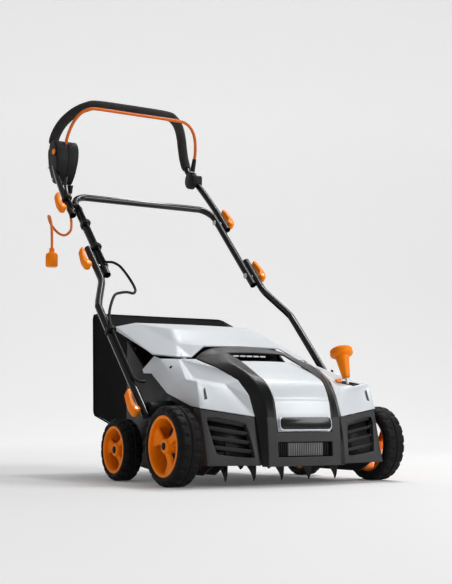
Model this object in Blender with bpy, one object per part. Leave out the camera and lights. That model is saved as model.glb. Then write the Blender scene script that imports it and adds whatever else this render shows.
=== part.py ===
"""Electric lawn scarifier: faceted hood, tine reel with belt drive, height-adjusted
wheels, three-stage folding handle, bail switch and rear catch bag.

Metres, +Z up.  -Y is the machine's front.  All shapes are written in a working
frame whose Y = 0 is near the front axle; the datum empty moves that frame so
that the origin lies at the centre of the machine's footprint, on the ground.
"""

import math

import bmesh
import bpy
import numpy as np
from mathutils import Vector

for old in list(bpy.data.objects):
    bpy.data.objects.remove(old, do_unlink=True)

# ---------------------------------------------------------------- dimensions
DATUM_Y = -0.3591  # working frame to model frame
GAP = 0.0003  # clearance between touching pieces
SHEET = 0.003  # moulded wall thickness

REEL = (-0.015, 0.068)  # (y, z) of the tine reel's axis
TINE_TIP_R = 0.061
TINE_PITCH = 0.037
TINE_COUNT = 9
SLEEVE_R = 0.0125
SHAFT_R = 0.006
CHAMBER_R = 0.068

MOTOR = (0.146, 0.205)
MOTOR_R = 0.043
PULLEY_DRIVE_R = 0.0145
PULLEY_REEL_R = 0.029
BELT_X = (-0.1985, -0.1895)
BELT_T = 0.003

CRANK = (-0.036, 0.147)  # (y, z) of the depth crank's axis
AXLE_R = 0.005
FRONT_WHEEL = dict(y=-0.013, r=0.087, rim=0.0665, x_in=0.245, x_out=0.300)
REAR_WHEEL = dict(y=0.264, r=0.0725, rim=0.0555, x_in=0.237, x_out=0.285)

PLATE_X = (0.208, 0.214)  # deck side plates
BULKHEAD_X = (-0.1835, -0.180)

HANDLE_FOOT = (0.103, 0.163)  # (y, z) of the handle's pivot on the deck
HANDLE_DIR = (0.7, 0.7141)  # unit direction of the handle in (y, z)
TUBE_R = 0.0095
TUBE_BORE = 0.0083
FOOT_X = 0.284
OUTER_X = 0.242
INNER_X = 0.220
LOWER_BOLT = 0.5214  # distances along the handle from its foot
UPPER_BOLT = 0.763
CROSSBAR = 0.824

GRIP_BAR = (0.752, 1.040)
GRIP_R = 0.014
BAIL_AXIS = (0.775, 0.857)
BAIL_R = 0.0045
FLAP_AXIS = (0.137, 0.284)
BAG_X = 0.202


# ---------------------------------------------------------------- helpers
def material(name, colour, roughness, metallic=0.0):
    mat = bpy.data.materials.new(name)
    mat.use_nodes = True
    shader = mat.node_tree.nodes["Principled BSDF"]
    shader.inputs["Base Color"].default_value = (*colour, 1.0)
    shader.inputs["Roughness"].default_value = roughness
    shader.inputs["Metallic"].default_value = metallic
    mat.diffuse_color = (*colour, 1.0)
    return mat


SILVER = material("silver_plastic", (0.66, 0.70, 0.74), 0.35)
BLACK = material("black_plastic", (0.03, 0.03, 0.032), 0.45)
GLOSS = material("gloss_black_plastic", (0.02, 0.02, 0.022), 0.2)
ORANGE = material("orange_plastic", (0.95, 0.22, 0.01), 0.35)
TYRE = material("tyre_rubber", (0.02, 0.02, 0.02), 0.8)
FOAM = material("foam_rubber", (0.018, 0.018, 0.02), 0.95)
STEEL = material("zinc_steel", (0.6, 0.6, 0.62), 0.3, 1.0)
TINE = material("hardened_steel", (0.08, 0.08, 0.085), 0.4, 0.9)
PAINTED = material("black_painted_tube", (0.012, 0.012, 0.013), 0.18)
FABRIC = material("black_fabric", (0.02, 0.02, 0.02), 0.95)
CABLE = material("black_cable", (0.02, 0.02, 0.02), 0.5)
LEAD = material("orange_cable", (0.95, 0.25, 0.02), 0.45)
BELT = material("belt_rubber", (0.02, 0.02, 0.02), 0.7)
ALUMINIUM = material("die_cast_aluminium", (0.55, 0.56, 0.57), 0.4, 1.0)

datum = bpy.data.objects.new("datum", None)
datum.location = (0.0, DATUM_Y, 0.0)
bpy.context.scene.collection.objects.link(datum)


def link(obj, mat, pivot=(0.0, 0.0, 0.0)):
    """Puts an object's origin at its pivot, with its data kept where it was drawn."""
    pivot = Vector(pivot)
    if obj.type == "MESH":
        for vertex in obj.data.vertices:
            vertex.co -= pivot
    else:
        for spline in obj.data.splines:
            for point in spline.points:
                point.co = (*(Vector(point.co[:3]) - pivot), 1.0)
    obj.location = pivot
    obj.parent = datum
    if mat is not None:
        obj.data.materials.append(mat)
    bpy.context.scene.collection.objects.link(obj)
    return obj


def solid(name, verts, faces, mat=None, pivot=(0.0, 0.0, 0.0), smooth=False):
    """A mesh object, with its normals made to face outwards."""
    mesh = bpy.data.meshes.new(name)
    mesh.from_pydata([tuple(v) for v in verts], [], [tuple(f) for f in faces])
    edit = bmesh.new()
    edit.from_mesh(mesh)
    bmesh.ops.remove_doubles(edit, verts=edit.verts, dist=1e-6)
    bmesh.ops.recalc_face_normals(edit, faces=edit.faces)
    edit.to_mesh(mesh)
    edit.free()
    if smooth:
        mesh.shade_smooth()
        mesh.set_sharp_from_angle(angle=math.radians(35))
    return link(bpy.data.objects.new(name, mesh), mat, pivot)


def prism(name, outline, x0, x1, mat=None, **more):
    """An outline in the YZ plane carried from x0 to x1."""
    count = len(outline)
    verts = [(x, y, z) for x in (x0, x1) for y, z in outline]
    faces = [tuple(range(count)), tuple(range(2 * count - 1, count - 1, -1))]
    for i in range(count):
        j = (i + 1) % count
        faces.append((i, j, count + j, count + i))
    return solid(name, verts, faces, mat, **more)


def box(name, low, high, mat=None, **more):
    outline = [(low[1], low[2]), (high[1], low[2]), (high[1], high[2]), (low[1], high[2])]
    return prism(name, outline, low[0], high[0], mat, **more)


def circle(centre, radius, count, start=-math.pi / 2, sweep=2 * math.pi):
    """Points round a circle in the YZ plane; a full circle leaves out its last point."""
    last = count if abs(sweep) > 6.28 else count - 1
    return [
        (centre[0] + radius * math.cos(start + sweep * i / last),
         centre[1] + radius * math.sin(start + sweep * i / last))
        for i in range(count)
    ]


def ring(name, profile, centre, mat=None, segments=32, side=1, flat_down=False, **more):
    """Turns a closed (x, radius) profile about the X direction through centre (y, z).

    With flat_down, the facets touch the true circle and one of them faces the ground.
    """
    verts = []
    offset = 0.5 if flat_down else 0.0
    grow = 1.0 / math.cos(math.pi / segments) if flat_down else 1.0
    for i in range(segments):
        angle = -math.pi / 2 + 2 * math.pi * (i + offset) / segments
        for x, radius in [(x, radius * grow) for x, radius in profile]:
            y = centre[0] + radius * math.cos(angle)
            verts.append((side * x, y, centre[1] + radius * math.sin(angle)))
    count = len(profile)
    faces = []
    for i in range(segments):
        for j in range(count):
            a, b = i * count, (i + 1) % segments * count
            k = (j + 1) % count
            faces.append((a + j, a + k, b + k, b + j))
    more.setdefault("pivot", (0.0, *centre))
    return solid(name, verts, faces, mat, smooth=True, **more)


def rod_x(name, centre, radius, x0, x1, mat=None, segments=16, **more):
    """A plain rod along X."""
    return prism(name, circle(centre, radius, segments), x0, x1, mat, smooth=True, **more)


def modify(obj, kind, name, **settings):
    modifier = obj.modifiers.new(name, kind)
    for key, value in settings.items():
        setattr(modifier, key, value)
    return modifier


def combine(obj, tool, operation):
    tool.hide_render = True
    tool.display_type = "WIRE"
    modify(obj, "BOOLEAN", operation.lower(), object=tool, operation=operation, solver="EXACT")
    return obj


def cut(obj, *tools):
    for tool in tools:
        combine(obj, tool, "DIFFERENCE")
    return obj


def join(obj, *tools):
    for tool in tools:
        combine(obj, tool, "UNION")
    return obj


def shell(name, verts, faces, mat, thickness=SHEET, **more):
    """A sheet of facets given a wall on its inner side, the side towards the reel chamber."""
    obj = solid(name, verts, faces, mat, **more)
    chamber = Vector((0.0, 0.12, 0.10)) - obj.location
    outwards = sum(face.area * face.normal.dot(face.center - chamber) for face in obj.data.polygons)
    if outwards < 0.0:
        obj.data.flip_normals()
    modify(obj, "SOLIDIFY", "wall", thickness=thickness, offset=-1.0, use_even_offset=True)
    return obj


def mirrored(verts, faces):
    """Adds the other half of a sheet drawn at negative X; points at X = 0 are shared."""
    index = {}
    full = list(verts)
    for i, (x, y, z) in enumerate(verts):
        if abs(x) < 1e-9:
            index[i] = i
        else:
            index[i] = len(full)
            full.append((-x, y, z))
    return full, list(faces) + [tuple(index[i] for i in reversed(face)) for face in faces]


def smooth_path(points, per_span):
    """Catmull-Rom curve through the points."""
    knots = [np.array(p, float) for p in points]
    knots = [2 * knots[0] - knots[1]] + knots + [2 * knots[-1] - knots[-2]]
    path = []
    for a, b, c, d in zip(knots, knots[1:], knots[2:], knots[3:]):
        for i in range(per_span):
            t = i / per_span
            square, cube = 2 * a - 5 * b + 4 * c - d, 3 * b - a - 3 * c + d
            path.append(0.5 * (2 * b + (c - a) * t + square * t**2 + cube * t**3))
    return path + [knots[-2]]


def tube_mesh(path, radius, bore, segments):
    """Vertices and faces of a round tube along a path; bore 0 gives a solid bar."""
    points = [np.array(p, float) for p in path]
    tangents = []
    for i in range(len(points)):
        step = points[min(i + 1, len(points) - 1)] - points[max(i - 1, 0)]
        tangents.append(step / np.linalg.norm(step))
    normal = np.cross(tangents[0], (0.31, 0.2, 0.93))
    verts = []
    for point, tangent in zip(points, tangents):
        normal = normal - tangent * normal.dot(tangent)
        normal /= np.linalg.norm(normal)
        side = np.cross(tangent, normal)
        for r in (radius, bore) if bore else (radius,):
            for k in range(segments):
                angle = 2 * math.pi * k / segments
                verts.append(point + r * (math.cos(angle) * normal + math.sin(angle) * side))
    walls = 2 if bore else 1
    stride = walls * segments
    faces = []
    for i in range(len(points) - 1):
        for wall in range(walls):
            a, b = i * stride + wall * segments, (i + 1) * stride + wall * segments
            for k in range(segments):
                m = (k + 1) % segments
                faces.append((a + k, a + m, b + m, b + k))
    for end in (0, (len(points) - 1) * stride):
        if bore:
            for k in range(segments):
                m = (k + 1) % segments
                faces.append((end + k, end + m, end + segments + m, end + segments + k))
        else:
            faces.append(tuple(end + k for k in range(segments)))
    return verts, faces


def tube(name, path, radius, mat=None, bore=0.0, segments=12, **more):
    verts, faces = tube_mesh(path, radius, bore, segments)
    return solid(name, verts, faces, mat, smooth=True, **more)


def cord(name, path, diameter, mat, pivot, resolution=2):
    """A cable: a curve with a round bevel and closed ends."""
    curve = bpy.data.curves.new(name, "CURVE")
    curve.dimensions = "3D"
    curve.bevel_depth = diameter / 2
    curve.bevel_resolution = resolution
    curve.use_fill_caps = True
    spline = curve.splines.new("POLY")
    spline.points.add(len(path) - 1)
    for point, place in zip(spline.points, path):
        point.co = (*place, 1.0)
    return link(bpy.data.objects.new(name, curve), mat, pivot)


def on_handle(x, along, lift=0.0):
    """A point of the handle's plane: along its tubes from the foot, lifted off its front."""
    y = HANDLE_FOOT[0] + along * HANDLE_DIR[0] - lift * HANDLE_DIR[1]
    z = HANDLE_FOOT[1] + along * HANDLE_DIR[1] + lift * HANDLE_DIR[0]
    return (x, y, z)


def thick_line(points, thickness):
    """The closed outline of a wall drawn to the left of a line of (y, z) points."""
    offset = []
    for i, (y, z) in enumerate(points):
        a = points[max(i - 1, 0)]
        b = points[min(i + 1, len(points) - 1)]
        length = math.hypot(b[0] - a[0], b[1] - a[1])
        offset.append((y - thickness * (b[1] - a[1]) / length, z + thickness * (b[0] - a[0]) / length))
    return list(points) + offset[::-1]


# ---------------------------------------------------------------- deck
def build_deck():
    side = [
        (-0.080, 0.047), (-0.036, 0.024), (0.185, 0.024), (0.257, 0.032), (0.300, 0.060),
        (0.335, 0.110), (0.335, 0.335), (0.240, 0.262), (0.150, 0.255), (0.085, 0.238),
        (0.010, 0.214), (-0.040, 0.204), (-0.055, 0.155), (-0.058, 0.120), (-0.080, 0.060),
    ]
    deck = prism("chassis_deck", side, *PLATE_X, BLACK)
    left = prism("cut_left_plate", side, -PLATE_X[1], -PLATE_X[0])
    bulkhead = prism("cut_bulkhead", side, *BULKHEAD_X)
    roof = [(-0.081, 0.047)] + circle(REEL, CHAMBER_R, 9, math.pi, -2.05)[1:]
    roof += [(0.100, 0.148), (0.192, 0.152), (0.255, 0.240), (0.334, 0.330)]
    ceiling = prism("cut_ceiling", thick_line(roof, SHEET), BULKHEAD_X[0] + 0.001, PLATE_X[0] + 0.001)
    front = box("cut_front_wall", (-0.209, -0.081, 0.047), (0.209, -0.078, 0.075))
    floor = [(0.062, 0.040), (0.200, 0.092), (0.334, 0.135)]
    chute = prism("cut_chute_floor", thick_line(floor, SHEET), -PLATE_X[0] - 0.001, PLATE_X[0] + 0.001)
    brace = box("cut_brace", (-0.209, 0.298, 0.128), (-0.1805, 0.306, 0.318))
    join(deck, left, bulkhead, ceiling, front, chute, brace)
    for side_sign in (1, -1):
        boss = [
            (PLATE_X[0] + 0.001, 0.0065), (PLATE_X[0] + 0.001, 0.024), (0.262, 0.021),
            (0.2738, 0.021), (0.2738, 0.0065),
        ]
        join(deck, ring(f"cut_boss_{side_sign}", boss, HANDLE_FOOT, side=side_sign, segments=14))
    through = [
        ("reel_right", REEL, 0.0163, 0.200, 0.220), ("reel_left", REEL, 0.0163, -0.220, -0.200),
        ("reel_bulkhead", REEL, 0.009, -0.190, -0.170), ("crank", CRANK, 0.0055, -0.230, 0.230),
        ("rear_axle", (REAR_WHEEL["y"], REAR_WHEEL["r"]), 0.0055, -0.230, 0.230),
        ("motor_shaft", MOTOR, 0.009, -0.190, -0.170),
    ]
    for label, centre, radius, x0, x1 in through:
        cut(deck, rod_x(f"cut_hole_{label}", centre, radius, x0, x1, segments=12))
    return deck


# ---------------------------------------------------------------- silver body
def hood_sheet():
    verts = [
        (-0.1165, -0.0945, 0.1515),  # 0 front lower, beside the trim
        (-0.2365, -0.0660, 0.1690),  # 1 front lower corner
        (-0.2350, -0.0490, 0.2265),  # 2 shoulder's front top corner
        (-0.1560, -0.0330, 0.2210),  # 3 inner end of the shoulder
        (-0.1180, -0.0740, 0.1970),  # 4 trim edge
        (-0.1260, -0.0420, 0.2300),  # 5 trim edge
        (-0.1440, 0.0200, 0.2590),  # 6 trim edge
        (-0.1500, 0.0620, 0.2710),  # 7 trim edge
        (-0.1530, 0.1010, 0.2820),  # 8 trim edge, top
        (-0.2360, -0.0270, 0.1730),  # 9 side lower edge
        (-0.2320, 0.0920, 0.2031),  # 10 side lower edge
        (-0.2280, 0.1780, 0.2507),  # 11 notch
        (-0.2250, 0.2230, 0.2520),  # 12 tip
        (-0.2240, 0.2310, 0.2608),  # 13 tip
        (-0.2160, 0.1880, 0.2905),  # 14 seam, outer
        (-0.2120, 0.1640, 0.2840),  # 15 pillar, rear top
        (-0.2350, 0.0460, 0.2204),  # 16 pillar, rear foot
        (-0.2360, -0.0019, 0.2324),  # 17 pillar, front foot
        (-0.1815, 0.1270, 0.2826),  # 18 pillar, front top
        (-0.1950, 0.0400, 0.2345),  # 19 recess floor
        (-0.1400, 0.0640, 0.2500),  # 20 hidden bridge
        (-0.1400, 0.0980, 0.2540),  # 21 hidden bridge
    ]
    faces = [
        (0, 1, 2, 3), (0, 3, 4), (4, 3, 5), (1, 9, 17, 2), (9, 10, 16, 17), (2, 17, 19, 3),
        (10, 11, 15, 16), (11, 12, 13, 14, 15), (16, 15, 18, 17), (17, 18, 19), (19, 18, 3),
        (5, 3, 18, 6), (6, 18, 7), (7, 18, 8), (7, 8, 21, 20),
    ]
    verts, faces = mirrored(verts, faces)
    bridge = [i for i, v in enumerate(verts) if abs(abs(v[0]) - 0.14) < 1e-6]
    left_front, left_back, right_front, right_back = bridge
    faces.append((left_front, left_back, right_back, right_front))
    return verts, faces


def build_hood():
    verts, faces = hood_sheet()
    hood = shell("hood", verts, faces, SILVER, thickness=0.0025)
    slot_x = (LEVER_X - 0.0055, LEVER_X + 0.0125)
    cut(hood, box("cut_lever_slot", (slot_x[0], -0.037, 0.205), (slot_x[1], 0.022, 0.245)))
    return hood


def build_flap():
    """The rear discharge flap; its lugs reach down to the hinge line."""
    pivot = (0.0, *FLAP_AXIS)
    verts = [
        (-0.2160, 0.1960, 0.2970),  # 0 seam, outer
        (-0.1815, 0.1390, 0.2895),  # 1 seam, inner
        (-0.1510, 0.1250, 0.2885),  # 2 beside the trim's corner
        (-0.1060, 0.1450, 0.3170),  # 3 behind the trim
        (-0.1520, 0.1970, 0.3225),  # 4 ridge, foot
        (-0.1240, 0.2700, 0.3638),  # 5 ridge, top
        (-0.2165, 0.3920, 0.3640),  # 6 rear outer corner
        (-0.2110, 0.4060, 0.3750),  # 7 rear outer corner, top
        (-0.1650, 0.3880, 0.3850),  # 8 rear top corner
        (0.0, 0.1480, 0.3190),  # 9 middle, front
        (0.0, 0.2720, 0.3660),  # 10 middle, ridge
        (0.0, 0.3980, 0.3870),  # 11 middle, rear
    ]
    faces = [
        (3, 9, 10, 5, 4), (5, 10, 11, 8), (4, 5, 8), (2, 3, 4), (1, 2, 4), (0, 1, 4),
        (0, 4, 8, 7), (0, 7, 6),
    ]
    verts, faces = mirrored(verts, faces)
    flap = shell("rear_flap", verts, faces, SILVER, thickness=0.003, pivot=pivot)
    for sign in (-1, 1):
        low, high = sorted((sign * 0.160, sign * 0.168))
        lug = circle(FLAP_AXIS, 0.006, 9, 0.0, -math.pi) + [
            (FLAP_AXIS[0] - 0.004, FLAP_AXIS[1] + 0.005), (FLAP_AXIS[0] + 0.010, FLAP_AXIS[1] + 0.0135),
        ]
        join(flap, prism(f"cut_lug_{sign}", lug, low, high))
    return flap


# ---------------------------------------------------------------- trim and front
TRIM_ROWS = [  # outer edge, crease, inner edge
    ((-0.1100, -0.1160, 0.0430), (-0.0960, -0.1205, 0.0430), (-0.0720, -0.1225, 0.0430)),
    ((-0.1105, -0.1140, 0.0630), (-0.0960, -0.1200, 0.0630), (-0.0720, -0.1225, 0.0630)),
    ((-0.1120, -0.1090, 0.0955), (-0.0960, -0.1180, 0.0955), (-0.0725, -0.1210, 0.0955)),
    ((-0.1130, -0.1040, 0.1165), (-0.0960, -0.1165, 0.1165), (-0.0725, -0.1195, 0.1165)),
    ((-0.1140, -0.0955, 0.1510), (-0.0960, -0.1130, 0.1530), (-0.0740, -0.1150, 0.1510)),
    ((-0.1155, -0.0745, 0.1965), (-0.0970, -0.0960, 0.1965), (-0.0745, -0.1065, 0.1910)),
    ((-0.1235, -0.0420, 0.2310), (-0.1000, -0.0640, 0.2340), (-0.0780, -0.0820, 0.2265)),
    ((-0.1410, 0.0200, 0.2600), (-0.1080, -0.0100, 0.2640), (-0.0805, -0.0300, 0.2545)),
    ((-0.1450, 0.0620, 0.2720), (-0.1100, 0.0400, 0.2810), (-0.0740, 0.0400, 0.2825)),
]
TRIM_BRIDGE = [(-0.1480, 0.1100, 0.2845), (-0.1040, 0.1395, 0.3141), (-0.0780, 0.0847, 0.2985)]


def build_trim():
    verts = [point for row in TRIM_ROWS for point in row] + TRIM_BRIDGE
    verts += [
        (0.0, -0.1245, 0.0430), (0.0, -0.1245, 0.0630), (0.0, -0.1225, 0.0955),
        (0.0, -0.1210, 0.1165), (0.0, 0.1420, 0.3165), (0.0, 0.0847, 0.3005),
    ]
    rows = len(TRIM_ROWS)
    faces = []
    for i in range(rows - 1):
        a, b = 3 * i, 3 * i + 3
        faces += [(a, b, b + 1, a + 1), (a + 1, b + 1, b + 2, a + 2)]
    corner, top, lip = 3 * rows, 3 * rows + 1, 3 * rows + 2
    last = 3 * rows - 3
    c0, c1, c2, c3, rear, front = range(3 * rows + 3, 3 * rows + 9)
    faces += [
        (last, corner, lip, last + 1), (last + 1, lip, last + 2), (corner, top, lip),
        (top, rear, front, lip), (2, 5, c1, c0), (8, 11, c3, c2),
    ]
    verts, faces = mirrored(verts, faces)
    return shell("trim_band", verts, faces, GLOSS, thickness=0.004)


def build_centre_panel():
    profile = [(-0.1185, 0.1175), (-0.1175, 0.135), (-0.1145, 0.160), (-0.1060, 0.1912),
               (-0.0830, 0.2235), (-0.0510, 0.2420), (-0.0080, 0.2590), (0.0385, 0.2765)]
    widths = [0.0690, 0.0715, 0.0725, 0.0730, 0.0765, 0.0785, 0.0790, 0.0720]
    verts = []
    for (y, z), half in zip(profile, widths):
        verts += [(-half, y + 0.002, z), (0.0, y - 0.002, z + 0.001), (half, y + 0.002, z)]
    faces = []
    for i in range(len(profile) - 1):
        a = 3 * i
        faces += [(a, a + 3, a + 4, a + 1), (a + 1, a + 4, a + 5, a + 2)]
    return shell("centre_panel", verts, faces, SILVER, thickness=0.0025)


def build_badge():
    verts = [
        (-0.0600, -0.1192, 0.1230), (0.0600, -0.1192, 0.1230), (0.0665, -0.1180, 0.1290),
        (0.0665, -0.1158, 0.1480), (-0.0665, -0.1158, 0.1480), (-0.0665, -0.1180, 0.1290),
    ]
    verts = [(x, y - 0.0045, z) for x, y, z in verts]
    return shell("badge_plate", verts, [(0, 1, 2, 3, 4, 5)], GLOSS, thickness=0.0012)


BUMPER_BORDER = [(-0.1150, -0.0925, 0.1485), (-0.2345, -0.0640, 0.1660), (-0.2330, -0.0955, 0.0470),
                 (-0.1115, -0.1110, 0.0455)]
VENT = [(-0.1353, -0.0915, 0.1360), (-0.2250, -0.0690, 0.1530), (-0.2110, -0.0935, 0.0700),
        (-0.1230, -0.1110, 0.0610)]


def build_bumper():
    """Front fascia: a framed vent each side, joined behind the trim and turned back at the sides."""
    verts = BUMPER_BORDER + VENT + [
        (-0.2365, -0.0400, 0.1690), (-0.2350, -0.0480, 0.0470),
        (-0.1150, -0.0855, 0.1485), (-0.1115, -0.0960, 0.0455),
        (0.0, -0.0855, 0.1485), (0.0, -0.0960, 0.0455),
    ]
    faces = [
        (0, 1, 5, 4), (1, 2, 6, 5), (2, 3, 7, 6), (3, 0, 4, 7), (1, 8, 9, 2),
        (0, 3, 11, 10), (10, 11, 13, 12),
    ]
    verts, faces = mirrored(verts, faces)
    return shell("front_bumper", verts, faces, BLACK, thickness=0.0025)


def between(a, b, t):
    return tuple(p + (q - p) * t for p, q in zip(a, b))


def build_vent_grille(name, sign):
    """Four louvre bars between two stiles, set behind the fascia's opening."""
    back = 0.0028
    inner_top, outer_top, outer_low, inner_low = [(sign * -x, y + back, z) for x, y, z in VENT]
    rows = (0.0, 0.10, 0.26, 0.36, 0.52, 0.62, 0.78, 0.88)
    columns = (0.0, 0.05, 0.95, 1.0)
    verts = []
    for row in rows:
        start, end = between(inner_top, inner_low, row), between(outer_top, outer_low, row)
        verts += [between(start, end, column) for column in columns]
    faces = []
    for i in range(len(rows) - 1):
        for j in range(len(columns) - 1):
            if i % 2 == 0 or j != 1:
                a = i * len(columns) + j
                faces.append((a, a + 1, a + 1 + len(columns), a + len(columns)))
    return shell(name, verts, faces, BLACK, thickness=0.003)


def build_intake():
    """Upright cooling fins on a frame behind the lower opening."""
    grille = box("intake_grille", (-0.0760, -0.1120, 0.0600), (0.0760, -0.1100, 0.0985), BLACK)
    fins = 12
    for i in range(fins):
        x = -0.064 + 0.128 * i / (fins - 1)
        join(grille, box(f"cut_fin_{i}", (x - 0.0018, -0.1165, 0.0640), (x + 0.0018, -0.1110, 0.0945)))
    return grille


# ---------------------------------------------------------------- drive
def build_drive():
    reel_pivot = (0.0, *REEL)
    motor_pivot = (0.0, *MOTOR)
    can = [
        (-0.1797, 0.0058), (-0.1797, 0.030), (-0.1720, MOTOR_R), (-0.0340, MOTOR_R), (-0.0260, 0.030),
        (-0.0260, 0.0058), (-0.0320, 0.0058), (-0.0320, 0.0330), (-0.1700, 0.0330), (-0.1700, 0.0058),
    ]
    ring("motor_can", can, MOTOR, ALUMINIUM, segments=20)
    rotor = [
        (-0.2020, 0.0), (-0.2020, 0.005), (-0.1640, 0.005), (-0.1640, 0.0295), (-0.0380, 0.0295),
        (-0.0380, 0.005), (0.0060, 0.005), (0.0060, 0.0),
    ]
    turned("motor_shaft", rotor, MOTOR, STEEL, motor_pivot)
    fan = ring("cooling_fan", [(-0.022, 0.0053), (-0.022, 0.013), (0.002, 0.013), (0.002, 0.0053)], MOTOR,
               BLACK, segments=16, pivot=motor_pivot)
    for i in range(8):
        angle = 2 * math.pi * i / 8
        radial = (math.cos(angle), math.sin(angle))
        across = (-math.sin(angle) * 0.0012, math.cos(angle) * 0.0012)
        quad = []
        for radius, side in ((0.011, 1), (0.038, 1), (0.038, -1), (0.011, -1)):
            quad.append((MOTOR[0] + radial[0] * radius + side * across[0],
                         MOTOR[1] + radial[1] * radius + side * across[1]))
        join(fan, prism(f"cut_blade_{i}", quad, -0.020, 0.0))
    for name, centre, radius, bore, pivot in (
        ("drive_pulley", MOTOR, PULLEY_DRIVE_R, 0.0053, motor_pivot),
        ("reel_pulley", REEL, PULLEY_REEL_R, 0.0063, reel_pivot),
    ):
        flange = radius + 0.0025
        profile = [
            (-0.2005, bore), (-0.2005, flange), (-0.1992, flange), (-0.1992, radius), (-0.1888, radius),
            (-0.1888, flange), (-0.1875, flange), (-0.1875, bore),
        ]
        ring(name, profile, centre, ALUMINIUM, segments=16, pivot=pivot)
    build_belt()
    shaft = [(-0.2025, 0.0), (-0.2025, SHAFT_R), (0.2145, SHAFT_R), (0.2145, 0.0)]
    turned("reel_shaft", shaft, REEL, STEEL, reel_pivot)
    sleeve = [(-0.165, 0.0063), (-0.165, SLEEVE_R), (0.165, SLEEVE_R), (0.165, 0.0063)]
    reel = ring("tine_reel", sleeve, REEL, TINE, segments=12, pivot=reel_pivot)
    for i in range(TINE_COUNT):
        x = (i - (TINE_COUNT - 1) / 2) * TINE_PITCH
        turn = 0.0 if i % 2 == 0 else math.pi / 2
        join(reel, prism(f"cut_tine_{i}", tine_outline(turn), x - 0.0012, x + 0.0012))
    cut(reel, rod_x("cut_reel_bore", REEL, 0.0064, -0.170, 0.170, segments=12))
    for name, side in (("reel_bearing_right", 1), ("reel_bearing_left", -1)):
        race = [(0.2045, 0.0063), (0.2045, 0.0160), (0.2152, 0.0160), (0.2152, 0.0063)]
        ring(name, race, REEL, STEEL, segments=12, side=side, pivot=reel_pivot)


def turned(name, profile, centre, mat, pivot):
    """A solid of revolution along X from an open (x, radius) profile that starts and ends on the axis."""
    segments = 16
    inner = profile[1:-1]
    verts = [(profile[0][0], *centre), (profile[-1][0], *centre)]
    for i in range(segments):
        angle = 2 * math.pi * i / segments
        for x, radius in inner:
            verts.append((x, centre[0] + radius * math.cos(angle), centre[1] + radius * math.sin(angle)))
    count = len(inner)
    faces = []
    for i in range(segments):
        a, b = 2 + i * count, 2 + (i + 1) % segments * count
        faces += [(0, b, a), (1, a + count - 1, b + count - 1)]
        for j in range(count - 1):
            faces.append((a + j, b + j, b + j + 1, a + j + 1))
    return solid(name, verts, faces, mat, pivot=pivot, smooth=True)


def tine_outline(turn):
    """Two hooked thorns back to back: a bowed front edge down to the tip, a hollow back edge."""
    half = [
        (-0.0180, 0.0100), (-0.0185, 0.0220), (-0.0180, 0.0340), (-0.0165, 0.0460),
        (-0.0130, 0.0550), (-0.0085, 0.0605), (-0.0060, 0.0540), (-0.0010, 0.0460),
        (0.0070, 0.0380), (0.0180, 0.0300), (0.0290, 0.0220), (0.0340, 0.0120),
    ]
    outline = []
    for flip in (0.0, math.pi):
        c, s = math.cos(turn + flip), math.sin(turn + flip)
        outline += [(REEL[0] + y * c - out * s, REEL[1] - y * s - out * c) for y, out in half]
    return outline[::-1]


def build_belt():
    """A flat loop round the two pulleys: two arcs joined by their common tangents."""
    dy, dz = REEL[0] - MOTOR[0], REEL[1] - MOTOR[1]
    distance = math.hypot(dy, dz)
    heading = math.atan2(dz, dy)

    def loop(extra):
        small, large = PULLEY_DRIVE_R + extra, PULLEY_REEL_R + extra
        lean = math.acos((small - large) / distance)
        points = circle(REEL, large, 15, heading - lean, 2 * lean)
        points += circle(MOTOR, small, 10, heading + lean, 2 * (math.pi - lean))
        return points

    outer, inner = loop(0.0005 + BELT_T), loop(0.0005)
    count = len(outer)
    verts = [(x, y, z) for x in BELT_X for pts in (outer, inner) for y, z in pts]
    faces = []
    for i in range(count):
        j = (i + 1) % count
        a, b, c, d = 0, count, 2 * count, 3 * count
        faces += [
            (a + i, a + j, b + j, b + i), (c + i, d + i, d + j, c + j),
            (a + i, c + i, c + j, a + j), (b + i, b + j, d + j, d + i),
        ]
    solid("drive_belt", verts, faces, BELT)


# ---------------------------------------------------------------- wheels and depth crank
def build_wheel(label, spec, side):
    centre = (spec["y"], spec["r"])
    x_out, x_in, rim, r = spec["x_out"], spec["x_in"], spec["rim"], spec["r"]
    rim_profile = [
        (x_out - 0.004, 0.0054), (x_out - 0.004, 0.014), (x_out - 0.014, 0.019),
        (x_out - 0.008, rim - 0.010), (x_out - 0.002, rim - 0.004), (x_out - 0.002, rim),
        (x_in + 0.004, rim), (x_in + 0.004, rim - 0.004), (x_out - 0.020, rim - 0.006),
        (x_out - 0.024, 0.022), (x_in + 0.002, 0.014), (x_in + 0.002, 0.0054),
    ]
    tyre_profile = [
        (x_out - 0.003, rim + GAP), (x_out, rim + 0.004), (x_out, r - 0.008), (x_out - 0.005, r),
        (x_in + 0.005, r), (x_in, r - 0.008), (x_in, rim + 0.004), (x_in + 0.003, rim + GAP),
    ]
    pivot = (side * (x_out + x_in) / 2, *centre)
    shared = dict(segments=20, side=side, pivot=pivot, flat_down=True)
    ring(f"{label}_rim", rim_profile, centre, ORANGE, **shared)
    ring(f"{label}_tyre", tyre_profile, centre, TYRE, **shared)


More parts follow.
